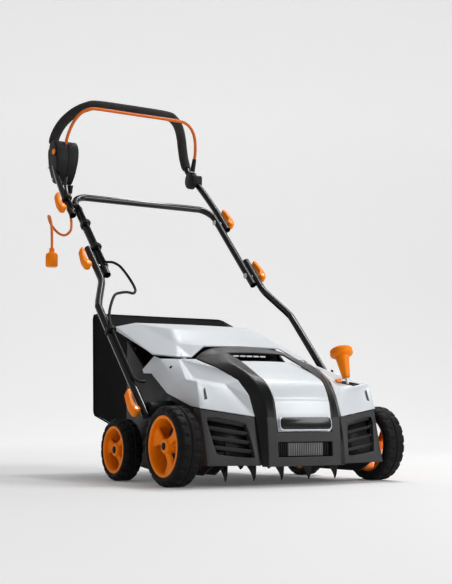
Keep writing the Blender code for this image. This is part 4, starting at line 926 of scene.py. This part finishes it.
def make_depth_lever():
    """A steel rod with a mushroom knob turned about the lever, its stem lightly faceted."""
    axis = LEVER_FOOT + LEVER_DIR * np.linspace(0.0056, 0.106, 12)[:, None]
    rod = sweep("depth_rod", placed(axis), 0.0040, STEEL, 20)
    stands_for(rod, "depth_crank", "depth_lever")
    profile = [(0.1005, 0.0044), (0.1005, 0.0078), (0.1018, 0.0092), (0.1045, 0.0100),
               (0.1260, 0.0130), (0.1500, 0.0164), (0.1545, 0.0176), (0.1562, 0.0240),
               (0.1600, 0.0274), (0.1660, 0.0277), (0.1725, 0.0262), (0.1765, 0.0205),
               (0.1783, 0.0110), (0.1785, 0.0004)]
    rows = spline(profile, 5)
    segments = 96
    angle = np.arange(segments) * TAU / segments
    across = np.cross(LEVER_DIR, (1.0, 0.0, 0.0))
    across /= np.linalg.norm(across)
    other = np.cross(LEVER_DIR, across)
    stem = np.clip((0.152 - rows[:, 0]) / 0.03, 0.0, 1.0)[:, None]
    facet = np.abs(np.cos(3.0 * angle))[None] - 0.64
    radius = rows[:, 1:] * (1.0 - 0.07 * stem * facet)
    around = np.cos(angle)[:, None] * across + np.sin(angle)[:, None] * other
    grid = LEVER_FOOT + LEVER_DIR * rows[:, :1, None] + radius[..., None] * around[None]
    faces = grid_faces(len(rows), segments, wrap_columns=True)
    faces += end_caps(len(rows), segments)
    knob = piece("depth_knob_mushroom", placed(grid).reshape(-1, 3), faces, ORANGE, angle=50.0)
    stands_for(knob, "depth_crank", "depth_knob")


def make_slot_bezel():
    """A black bezel round the lever's slot, on the right shoulder."""
    (x0, x1), (y0, y1) = LEVER_SLOT
    outline = rounded_box((x0 - 0.004, y0 - 0.004), (x1 + 0.004, y1 + 0.004), 0.007)
    inner = rounded_box((x0, y0), (x1, y1), 0.006)
    count = len(outline)
    rings = []
    for line, lift in ((inner, -0.004), (inner, 0.0012), (outline, 0.0012), (outline, -0.004)):
        rings.append(np.stack([line[:, 0], line[:, 1], shoulder_height(line) + lift], -1))
    grid = np.stack(rings)
    bezel = piece("lever_slot_bezel", placed(grid).reshape(-1, 3),
                  grid_faces(4, count, wrap_rows=True, wrap_columns=True), BLACK, angle=30.0)
    stands_for(bezel, "chassis")


def shoulder_height(line):
    """Height of the right shoulder's top, a plane fitted through its corners."""
    corners = np.array([(0.2350, -0.0490, 0.2265), (0.1560, -0.0330, 0.2210),
                        (0.1950, 0.0400, 0.2345), (0.2360, -0.0019, 0.2324)])
    design = np.column_stack([corners[:, :2], np.ones(4)])
    slope = np.linalg.lstsq(design, corners[:, 2], rcond=None)[0]
    return line[:, 0] * slope[0] + line[:, 1] * slope[1] + slope[2]


def make_screws():
    """Cross-head screws where the shell is fastened, each a dome with a sunk cross."""
    heads = []
    for k, sign in enumerate((-1, 1)):
        spot = (sign * 0.2255, 0.0876, 0.2620)
        facing = np.array((sign, 0.1, 0.75)) / np.linalg.norm((sign, 0.1, 0.75))
        side = np.cross(facing, (0, 1, 0))
        side /= np.linalg.norm(side)
        other = np.cross(facing, side)
        radii = np.array([0.0001, 0.0010, 0.0020, 0.0030, 0.0036, 0.0036])
        heights = np.array([0.0012, 0.0012, 0.0011, 0.0008, 0.0002, -0.0020])
        angle = np.arange(32) * TAU / 32
        cross = np.exp(-(np.minimum(np.abs(np.sin(angle)), np.abs(np.cos(angle))) / 0.35) ** 2)
        sunk = 0.0009 * cross[None] * (radii < 0.0025)[:, None]
        grid = (np.array(spot) + (heights[:, None] - sunk)[..., None] * facing
                + radii[:, None, None] * (np.cos(angle)[:, None] * side
                                          + np.sin(angle)[:, None] * other)[None])
        heads.append(piece(f"screw_{k}", placed(grid).reshape(-1, 3),
                           grid_faces(6, 32, wrap_columns=True) + [list(range(32))], BLACK))
    stands_for(merged("shell_screws", *heads), "chassis")


def make_shoulder_details():
    """A dark slit in each shoulder's front, a screw recess by the lever and the depth pointer."""
    slits = []
    for side in (-1, 1):
        tri = np.array([(side * 0.2180, -0.0555, 0.2130), (side * 0.2245, -0.0630, 0.1775),
                        (side * 0.2140, -0.0635, 0.1765)])
        normal = np.cross(tri[1] - tri[0], tri[2] - tri[0])
        normal *= -np.sign(normal[1]) / np.linalg.norm(normal)
        ring = rounded_space(tri, 0.0016)
        count = len(ring)
        both = np.vstack([ring - normal * 0.0022, ring + normal * 0.0010])
        faces = grid_faces(2, count, wrap_columns=True)
        faces += end_caps(2, count)
        slits.append(piece(f"slit_{side}", placed(both), faces, GLOSS, angle=30.0))
    stands_for(merged("shoulder_slits", *slits), "chassis")
    spot = np.array([[0.2200, -0.0200]])
    base = float(shoulder_height(spot)[0])
    oval = rounded_box((0.2125, -0.0280), (0.2275, -0.0080), 0.0074, 8)
    plate = slab("recess", oval, (0, 0, base), (1, 0, 0), (0, 0.994, 0.105), 0.0016, BLACK, 0.0004)
    head = slab("recess_screw", rounded_box((0.2165, -0.0215), (0.2235, -0.0145), 0.0034, 8),
                (0, 0, base + 0.0010), (1, 0, 0), (0, 0.994, 0.105), 0.0014, STEEL, 0.0004)
    pointer = slab("pointer", rounded([(-0.0070, 0.0), (0.0070, -0.0030), (0.0070, 0.0062),
                                       (-0.0070, 0.0046)], 0.0018),
                   (0.1655, -0.0174, 0.2325), (1, 0, 0), (0, 0.1, 0.995), 0.0080, ORANGE, 0.0010)
    stands_for(merged("shoulder_fittings", plate, head, pointer), "chassis")


def rounded_space(corners, radius, steps=4):
    """A polygon in space with its corners rounded, worked in the polygon's own plane."""
    along = (corners[1] - corners[0]) / np.linalg.norm(corners[1] - corners[0])
    normal = np.cross(along, corners[2] - corners[0])
    across = np.cross(normal / np.linalg.norm(normal), along)
    flat = [((c - corners[0]) @ along, (c - corners[0]) @ across) for c in corners]
    flat = rounded(flat, radius, steps)
    return corners[0] + flat[:, :1] * along + flat[:, 1:] * across


make_shoulder_details()
make_axles()
make_depth_lever()
make_slot_bezel()
make_screws()


# ---------------------------------------------------------------- handle
def right_upper_path():
    """The right half of the upper handle, from below its bolt to the middle of the grip."""
    knots = [
        on_handle(OUTER_X, UPPER_BOLT - 0.030), on_handle(OUTER_X, UPPER_BOLT),
        on_handle(OUTER_X, UPPER_BOLT + 0.045), on_handle(0.236, 0.90), on_handle(0.228, 0.97),
        (0.2200, 0.8150, 0.8920), (0.2150, 0.8290, 0.9300), (0.2060, 0.8240, 0.9640),
        (0.1920, 0.8070, 0.9930), (0.1690, 0.7820, 1.0180), (0.1410, 0.7610, 1.0330),
        (0.1100, 0.7530, 1.0390), (0.0, 0.752, 1.040),
    ]
    return spline(knots, 8)


def both_halves(half):
    """A half path at positive X joined to its mirror image, running from left to right."""
    return np.vstack([half * (-1, 1, 1), half[::-1][1:]])


def make_tubes():
    """The handle's three tubular sections and the foam sleeve on its grip."""
    for side_name, side in SIDES:
        knots = [
            on_handle(FOOT_X, -0.014), on_handle(FOOT_X, 0.0), on_handle(FOOT_X, 0.17),
            on_handle(FOOT_X, 0.335), on_handle(0.281, 0.365), on_handle(0.263, 0.410),
            on_handle(0.245, 0.455), on_handle(OUTER_X, 0.485), on_handle(OUTER_X, LOWER_BOLT),
            on_handle(OUTER_X, 0.590),
        ]
        path = placed(spline(knots, 8)) * (side, 1, 1)
        tube = sweep(f"lower_tube_{side_name}_painted", path, TUBE_R, PAINT, 28, bore=TUBE_BORE)
        stands_for(tube, "lower_handle", f"lower_tube_{side_name}")
    corner = 0.045
    leg = [on_handle(INNER_X, s) for s in np.linspace(0.483, CROSSBAR - corner, 14)]
    for angle in np.linspace(0.0, math.pi / 2, 14)[1:]:
        leg.append(on_handle(INNER_X - corner * (1 - math.cos(angle)),
                             CROSSBAR - corner * (1 - math.sin(angle))))
    tube = sweep("mid_frame_painted", placed(both_halves(np.array(leg))), TUBE_R, PAINT, 28,
                 bore=TUBE_BORE)
    stands_for(tube, "mid_handle", "mid_frame")
    whole = both_halves(right_upper_path())
    tube = sweep("upper_handle_painted", placed(whole), TUBE_R, PAINT, 28, bore=TUBE_BORE)
    stands_for(tube, "top_handle", "upper_handle")
    foam = whole[(whole[:, 2] > 0.927) | ((whole[:, 0] > 0.0) & (whole[:, 2] > 0.897))]
    place = np.linspace(0.0, 1.0, len(foam))
    ends = np.minimum(place, 1.0 - place) * len(foam)
    radius = 0.0142 - 0.0022 * np.exp(-ends / 0.8)
    grip = sweep("foam_grip_sleeve", placed(foam), radius, FOAM, 32, bore=TUBE_R + 0.0004)
    stands_for(grip, "top_handle", "foam_grip")


def make_bolt(name, body, along, side):
    """A carriage bolt: domed head inside the inner tube and a shank out through the tubes."""
    inside = INNER_X - TUBE_R
    profile = [(inside - 0.0048, 0.0), (inside - 0.0046, 0.0030), (inside - 0.0036, 0.0058),
               (inside - 0.0018, 0.0074), (inside - 0.0003, 0.0078), (inside - 0.0003, 0.0030),
               (0.2520, 0.0030), (0.2520, 0.0)]
    centre = on_handle(0.0, along)[1:]
    bolt = turned(f"{name}_carriage", profile, centre, STEEL, side, 32, closed=False)
    stands_for(bolt, body, name)


LEVER_OUTLINE = [
    (0.0005, 0.0), (0.0040, -0.0080), (0.0120, -0.0115), (0.0190, -0.0090), (0.0232, 0.0110),
    (0.0210, 0.0270), (0.0185, 0.0430), (0.0160, 0.0560), (0.0110, 0.0630), (0.0055, 0.0600),
    (0.0056, 0.0500), (0.0088, 0.0410), (0.0105, 0.0270), (0.0100, 0.0160), (0.0040, 0.0080),
]


def make_cam_lever(name, side, x_face, along):
    """A cam lever: a hooked outline with heavily rounded edges, and a pin through its cam."""
    outline = rounded(LEVER_OUTLINE, 0.006, 5)
    origin = on_handle(side * x_face, along)
    up = (0.0, *HANDLE_DIR)
    arm = slab(f"{name}_arm", outline, origin, (side, 0, 0), up, 0.0200, ORANGE, 0.0030, 4)
    ribs = []
    for k in range(8):
        height = 0.0190 + 0.0050 * k
        out = 0.0216 - (height - 0.0190) * 0.145
        spot = np.array(origin) + np.array((side * out, 0.0, 0.0)) + np.array(up) * height
        normal = np.cross((side, 0.0, 0.0), up)
        path = placed(spot + normal * np.linspace(-0.0070, 0.0070, 3)[:, None])
        ribs.append(sweep(f"{name}_rib_{k}", path, 0.0013, ORANGE, 10))
    pin_at = np.array(origin) + np.array((side * 0.012, 0.0, 0.0))
    normal = np.cross((side, 0.0, 0.0), up)
    pin = sweep(f"{name}_pin", placed(pin_at + normal * np.linspace(-0.0104, 0.0104, 5)[:, None]),
                0.0026, STEEL, 20)
    stands_for(merged(f"{name}_cam", arm, pin, *ribs), f"{name}_arm", name)


make_tubes()
for side_name, side_sign in SIDES:
    make_bolt(f"lower_bolt_{side_name}", "lower_handle", LOWER_BOLT, side_sign)
    make_bolt(f"upper_bolt_{side_name}", "top_handle", UPPER_BOLT, side_sign)
    outside = OUTER_X + TUBE_R + 0.0013
    make_cam_lever(f"foot_lever_{side_name}", side_sign, FOOT_X + TUBE_R + 0.0013, 0.0)
    make_cam_lever(f"lower_lever_{side_name}", side_sign, outside, LOWER_BOLT)
    make_cam_lever(f"upper_lever_{side_name}", side_sign, outside, UPPER_BOLT)


# ---------------------------------------------------------------- controls
def make_switch_box():
    """Two rounded half shells with a parting line, a raised round nose and a button ring."""
    outline = [(0.7380, 0.8650), (0.7400, 0.9020), (0.7540, 0.9230), (0.7830, 0.9250),
               (0.8030, 0.9020), (0.8040, 0.8520), (0.7880, 0.8060), (0.7660, 0.7990),
               (0.7480, 0.8240)]
    smooth = rounded(outline, 0.014, 7)
    middle = smooth.mean(axis=0)
    shells = [yz_slab("outer_shell", smooth, -0.2422, -0.2078, BLACK, 0.0045, 5),
              yz_slab("inner_shell", smooth, -0.2070, -0.1723, BLACK, 0.0045, 5),
              yz_slab("gasket", middle + (smooth - middle) * 0.965, -0.2110, -0.2040, CABLE, 0.0)]
    taper_from, taper_to, parting_x = 0.890, 0.800, -0.2075
    for shell in shells:
        for vert in shell.data.vertices:
            drop = np.clip((taper_from - vert.co.z) / (taper_from - taper_to), 0.0, 1.0)
            vert.co.x += (parting_x - vert.co.x) * 0.30 * drop ** 1.3
    nose = [(-0.1716, 0.0), (-0.1716, 0.0185), (-0.1735, 0.0215), (-0.1800, 0.0220)]
    shells.append(turned("nose", nose, (0.7740, 0.8960), BLACK, 1, 56, closed=False))
    ring = [(-0.2412, 0.0086), (-0.2412, 0.0106), (-0.2432, 0.0106), (-0.2432, 0.0086)]
    shells.append(turned("button_ring", ring, (0.7520, 0.8880), BLACK, 1, 48))
    for k, (y, z) in enumerate(((0.7900, 0.9060), (0.7960, 0.8500), (0.7640, 0.8120))):
        boss = [(-0.2432, 0.0), (-0.2430, 0.0030), (-0.2416, 0.0034)]
        shells.append(turned(f"cover_screw_{k}", boss, (y, z), STEEL, 1, 24, closed=False))
    stands_for(merged("switch_box_shells", *shells), "top_handle", "switch_box")
    face = [(-0.2405, 0.0), (-0.2405, 0.0080), (-0.2455, 0.0080), (-0.2466, 0.0070),
            (-0.2469, 0.0035), (-0.2470, 0.0)]
    button = turned("lock_button_cap", face, (0.7520, 0.8880), ORANGE, 1, 48, closed=False)
    stands_for(button, "safety_button", "lock_button")


def make_bail():
    """The switch bail: a bent rod, with a soft boot where its right leg enters the pivot box."""
    leg = [(0.2080, 0.7655, 0.8836), (0.2080, 0.7560, 0.9070), (0.2060, 0.7440, 0.9370),
           (0.1960, 0.7290, 0.9730), (0.1780, 0.7180, 0.9990), (0.1540, 0.7120, 1.0130),
           (0.1250, 0.7110, 1.0160), (0.0, 0.7110, 1.0160)]
    path = placed(both_halves(spline(leg, 10)))
    rod = sweep("bail_rod", path, 0.0045, BAIL_ORANGE, 20)
    boot_path = placed(spline(leg[:3], 10))[:15]
    boot_radius = np.linspace(0.0078, 0.0058, 15)
    boot = sweep("boot", boot_path, boot_radius, BLACK, 24)
    stands_for(merged("bail_rod_booted", rod, boot), "switch_bail", "bail")


def make_pivot_box():
    """A round black housing clamped on the right leg of the upper handle."""
    disc = [(0.2000, 0.0), (0.2000, 0.0215), (0.2012, 0.0240), (0.2040, 0.0258), (0.2165, 0.0260),
            (0.2165, 0.0)]
    cap = turned("disc", disc, (0.775, 0.857), BLACK, 1, 72, closed=False)
    clamp = yz_slab("clamp", rounded_box((0.759, 0.841), (0.791, 0.873), 0.009, 6), 0.2150, 0.2398,
                    BLACK, 0.0030, 4)
    stands_for(merged("pivot_box_housing", cap, clamp), "top_handle", "bail_pivot_box")


def make_gland():
    """A ribbed strain relief, tapering down the lead."""
    profile = [(0.0, 0.0045), (0.0, 0.0085), (-0.0030, 0.0085)]
    for i in range(5):
        h = -0.0040 - 0.0036 * i
        r = 0.0080 - 0.0004 * i
        profile += [(h, r), (h - 0.0016, r), (h - 0.0018, r - 0.0012), (h - 0.0034, r - 0.0012)]
    profile += [(-0.0220, 0.0055), (-0.0220, 0.0045)]
    gland = upright("strain_relief", profile, (-0.1880, 0.7640, 0.7985), BLACK, 32)
    stands_for(gland, "top_handle", "cable_gland")


make_switch_box()
make_bail()
make_pivot_box()
make_gland()


# ---------------------------------------------------------------- motor cable and its clips
def make_motor_cable():
    """The motor cable in three runs, one per handle section, that meet on the fold axes."""
    lift = CABLE_LIFT
    runs = {
        "upper": ("top_handle", [
            (-0.2050, 0.7700, 0.7960), (-0.2130, 0.7500, 0.7900), on_handle(-0.2260, 0.880, 0.022),
            on_handle(-0.2380, 0.84, lift + 0.002), on_handle(-OUTER_X, 0.80, lift),
            on_handle(-OUTER_X, UPPER_BOLT + 0.012, lift), on_handle(-0.2395, UPPER_BOLT, lift),
            on_handle(-0.2312, UPPER_BOLT, lift)]),
        "middle": ("mid_handle", [
            on_handle(-0.2309, UPPER_BOLT, lift), on_handle(-0.2225, UPPER_BOLT, lift),
            on_handle(-INNER_X, UPPER_BOLT - 0.014, lift), on_handle(-INNER_X, 0.70, lift),
            on_handle(-INNER_X, 0.60, lift), on_handle(-INNER_X, LOWER_BOLT + 0.014, lift),
            on_handle(-0.2180, LOWER_BOLT, lift), on_handle(-0.2080, LOWER_BOLT, lift)]),
        "lower": ("lower_handle", [
            on_handle(-0.2077, LOWER_BOLT, lift), on_handle(-0.1960, LOWER_BOLT - 0.001, lift),
            (-0.1800, 0.4480, 0.5330), (-0.1620, 0.4330, 0.5030), (-0.1510, 0.4210, 0.4750),
            (-0.1620, 0.4070, 0.4620), (-0.1900, 0.3850, 0.4610), (-0.2200, 0.3620, 0.4560),
            (-0.2450, 0.3450, 0.4460), on_handle(-0.2680, 0.330, 0.0190),
            on_handle(-0.2790, 0.295, lift), on_handle(-FOOT_X, 0.25, lift),
            on_handle(-FOOT_X, 0.15, lift), on_handle(-FOOT_X, 0.100, lift),
            on_handle(-0.2800, 0.084, lift + 0.001), on_handle(-0.2700, 0.078, lift + 0.002),
            on_handle(-0.2602, 0.078, lift + 0.002)]),
    }
    for label, (body, knots) in runs.items():
        path = placed(spline(knots, 8))
        cable = sweep(f"motor_cable_{label}_sheath", path, CABLE_D / 2, CABLE, 16)
        stands_for(cable, body, f"motor_cable_{label}")


def make_clip(name, body, x, along):
    """A cable clip: an oval band round the tube and the cable."""
    segments = 40
    angle = np.arange(segments) * TAU / segments
    across = (TUBE_R + 0.0016) * np.cos(angle)
    outward = np.where(np.sin(angle) > 0, CABLE_LIFT + (CABLE_D / 2 + 0.0016) * np.sin(angle),
                       (TUBE_R + 0.0016) * np.sin(angle))
    across = np.where(np.sin(angle) > 0, across * (1.0 - 0.45 * np.sin(angle)), across)
    rings = []
    for s, grow in ((-0.006, 0.0), (-0.0052, 0.0008), (0.0052, 0.0008), (0.006, 0.0)):
        centre = np.array(on_handle(x, along + s))
        lift = np.array((0.0, -HANDLE_DIR[1], HANDLE_DIR[0]))
        scale = 1.0 + grow / TUBE_R
        rings.append(centre + scale * across[:, None] * np.array((1.0, 0.0, 0.0))
                     + scale * outward[:, None] * lift)
    rows = len(rings)
    faces = grid_faces(rows, segments, wrap_columns=True) + end_caps(rows, segments)
    band = piece(name, placed(np.array(rings)).reshape(-1, 3), faces, BLACK)
    stands_for(band, body)


make_motor_cable()
make_clip("clip_upper_tube", "top_handle", -OUTER_X, 0.800)
make_clip("clip_mid_high", "mid_handle", -INNER_X, 0.690)
make_clip("clip_mid_low", "mid_handle", -INNER_X, 0.588)
make_clip("clip_lower_tube", "lower_handle", -FOOT_X, 0.262)


# ---------------------------------------------------------------- catch bag
BAG_HALF = 0.202
MOUTH_Y = 0.3484
REAR_HEIGHTS = [0.146, 0.290, 0.424]


def bag_section(s):
    """Lower and upper edge heights at s, from the mouth (0) to the rear (1)."""
    low = np.interp(s, [0.0, 0.57, 1.0], [0.112, 0.128, 0.150])
    high = np.interp(s, [0.0, 0.33, 0.59, 1.0], [0.336, 0.366, 0.390, 0.424])
    return low, high


def bag_surface(rows, columns):
    """Sections are rounded rectangles whose corners tighten at the seams; walls sag between them.

    point(s, t): y runs from the mouth to the leaning rear wall, x and z follow the section at
    angle t as a superellipse, and wrinkles are sums of sines that fade at the seams.
    """
    s = np.concatenate([np.linspace(0.0, 0.965, rows - 8), 0.965 + 0.035 * np.sin(
        np.linspace(0.0, math.pi / 2, 9)[1:])])[:, None]
    t = (np.arange(columns) * TAU / columns)[None]
    low, high = bag_section(s)
    power = 0.07
    cx = np.sign(np.cos(t)) * np.abs(np.cos(t)) ** power
    cz = np.sign(np.sin(t)) * np.abs(np.sin(t)) ** power
    close = np.clip((s - 0.965) / 0.035, 0.0, 1.0)
    shrink = 1.0 - 0.045 * (1.0 - np.sqrt(np.clip(1.0 - close**2, 0.0, 1.0)))
    x = (BAG_HALF - 0.0030) * cx * shrink
    middle, half = (low + high) / 2, (high - low) / 2
    z = middle + (half - 0.0025) * cz * shrink
    lean = np.interp(z, REAR_HEIGHTS, [0.567, 0.574, 0.579])
    y = MOUTH_Y + (lean - 0.002 - MOUTH_Y) * np.minimum(s, 1.0)
    free = np.sin(math.pi * np.clip(s, 0.0, 1.0)) ** 0.8
    side_face = (1.0 - np.abs(cz) ** 6)
    top_face = (1.0 - np.abs(cx) ** 6)
    fold = (np.sin(34 * z + 21 * y) * 0.5 + np.sin(61 * z - 33 * y + 1.3) * 0.3
            + np.sin(18 * y + 47 * z + 0.6) * 0.4)
    x = x - np.sign(cx) * free * side_face * (0.0055 + 0.0022 * fold)
    ripple = np.sin(38 * x + 9 * y) * 0.5 + np.sin(23 * x - 31 * y + 0.8) * 0.5
    z = z - free * top_face * (0.0050 * (cz > 0) - 0.0020 * (cz < 0) + 0.0018 * ripple)
    return np.stack([x, y, z], -1)


def make_bag():
    """The cloth body with its rear wall drawn in ring by ring, and piping along the seams."""
    rows, columns = 96, 200
    surface = bag_surface(rows, columns)
    last = surface[-1]
    centre = last.mean(axis=0)
    rings = [surface]
    for f in (0.9, 0.75, 0.6, 0.45, 0.3, 0.15, 0.02):
        ring = centre + (last - centre) * f
        away = 1.0 - f
        sag = -0.0045 * math.sin(math.pi * min(1.0, away * 1.1)) * np.ones(columns)
        crease = 0.0016 * np.sin(40 * ring[:, 0] + 30 * ring[:, 2]) * math.sin(math.pi * f)
        wall_y = np.interp(ring[:, 2], REAR_HEIGHTS, [0.565, 0.572, 0.577])
        ring[:, 1] = wall_y + sag + crease
        rings.append(ring[None])
    grid = np.concatenate(rings)
    faces = grid_faces(len(grid), columns, wrap_columns=True)
    faces.append(list(range((len(grid) - 1) * columns, len(grid) * columns)))
    cloth = piece("bag_cloth", placed(grid).reshape(-1, 3), faces, FABRIC, angle=70.0)
    finer(cloth, SOLIDIFY=dict(thickness=0.0018, offset=-1.0))
    cloth.data.shade_smooth()
    parts = [cloth]
    for label, row in (("mouth", 0), ("rear", rows - 8)):
        ring = surface[row]
        ring = ring + (ring - ring.mean(axis=0)) * 0.004
        path = placed(np.vstack([ring, ring[:1]]))
        parts.append(sweep(f"piping_{label}", path, 0.0021, PIPING, 10, caps=False))
    for side in (-1, 1):
        s = np.linspace(0.0, 0.97, 60)
        low, high = bag_section(s)
        for edge, sign in ((high, 1.0), (low, -1.0)):
            y = MOUTH_Y + (np.interp(edge, [0.146, 0.424], [0.565, 0.577]) - MOUTH_Y) * s
            line = np.stack([np.full(60, side * (BAG_HALF - 0.0052)), y, edge - sign * 0.0048], -1)
            parts.append(sweep(f"piping_{side}_{sign}", placed(line), 0.0021, PIPING, 10))
    stands_for(merged("catch_bag_fabric", *parts), "bag", "catch_bag")
    refined("bag_frame", BLACK, "bag", 0.0012)


make_bag()


# ---------------------------------------------------------------- floor, backdrop and light
def make_stage():
    """A pale floor that curves up into a backdrop behind the machine."""
    flat = np.linspace(-4.5, 2.6, 12)
    bend = np.linspace(0.0, math.pi / 2, 28)[1:]
    y = np.concatenate([flat, 2.6 + 2.2 * np.sin(bend), np.full(4, 4.8)])
    z = np.concatenate([0 * flat, 2.2 * (1 - np.cos(bend)), np.linspace(3.0, 7.0, 4)])
    x = np.linspace(-9.0, 9.0, 10)
    grid = np.stack(np.broadcast_arrays(x[None], y[:, None], z[:, None]), -1)
    c, s = math.cos(CAMERA_TURN), math.sin(CAMERA_TURN)
    grid = np.stack([c * grid[..., 0] - s * grid[..., 1], s * grid[..., 0] + c * grid[..., 1],
                     grid[..., 2]], -1)
    paper = finish("pale_paper", (0.80, 0.80, 0.80), 0.9, grain=(60.0, 0.0), mottle=(0.4, 0.002),
                   specular=0.0)
    lift_backdrop(paper, 0.06, 0.37)
    sweep_sheet = piece("studio_floor", grid.reshape(-1, 3), grid_faces(*grid.shape[:2]), paper,
                        angle=80.0, turn_out=False)


def lift_backdrop(mat, near, far):
    """A faint glow in the paper, stronger away from the lamps, so the tone stays even."""
    nodes, links = mat.node_tree.nodes, mat.node_tree.links
    shader = nodes["Principled BSDF"]
    reach = nodes.new("ShaderNodeVectorMath")
    reach.operation = "LENGTH"
    links.new(nodes.new("ShaderNodeTexCoord").outputs["Object"], reach.inputs[0])
    rise = nodes.new("ShaderNodeMapRange")
    rise.inputs["From Min"].default_value = 0.8
    rise.inputs["From Max"].default_value = 3.0
    rise.inputs["To Min"].default_value = near
    rise.inputs["To Max"].default_value = far
    links.new(reach.outputs["Value"], rise.inputs["Value"])
    links.new(rise.outputs["Result"], shader.inputs["Emission Strength"])
    shader.inputs["Emission Color"].default_value = (1.0, 1.0, 1.0, 1.0)


def make_light(name, place, target, size, power, along=None):
    """A rectangular area light aimed at target; along gives the direction across its face."""
    data = bpy.data.lights.new(name, "AREA")
    data.shape = "RECTANGLE"
    data.size, data.size_y = size
    data.energy = power
    light = bpy.data.objects.new(name, data)
    light.location = place
    aim = Vector(target) - Vector(place)
    if along is None:
        light.rotation_euler = aim.to_track_quat("-Z", "Y").to_euler()
    else:
        back = -aim.normalized()
        across = Vector(along).cross(back).normalized()
        axes = Matrix((across, back.cross(across), back)).transposed()
        light.rotation_euler = axes.to_euler()
    bpy.context.scene.collection.objects.link(light)


def make_lighting():
    """A dim white world, a large key and top light, and lines that draw the tubes' highlights."""
    world = bpy.data.worlds.new("studio")
    world.use_nodes = True
    back = world.node_tree.nodes["Background"]
    back.inputs["Color"].default_value = (1.0, 1.0, 1.0, 1.0)
    back.inputs["Strength"].default_value = 0.32
    bpy.context.scene.world = world
    bpy.context.scene.view_settings.view_transform = "Standard"
    make_light("key", (1.7, -2.7, 1.5), (0.0, 0.0, 0.3), (1.4, 1.4), 46.0)
    make_light("top", (0.8, 0.0, 3.2), (0.0, 0.0, 0.2), (1.8, 1.8), 9.0)
    make_light("leg_line", (0.90, 0.33, 2.5), (0.0, 0.1, 0.6), (0.12, 2.4), 19.0, (0, 1, 0))
    make_light("bar_line", (1.1, -0.1, 2.5), (0.0, 0.3, 0.8), (0.12, 2.0), 15.0, (1, 0, 0))
    make_light("left", (-2.8, -1.0, 1.4), (0.0, 0.0, 0.4), (0.10, 2.2), 4.0)


make_stage()
make_lighting()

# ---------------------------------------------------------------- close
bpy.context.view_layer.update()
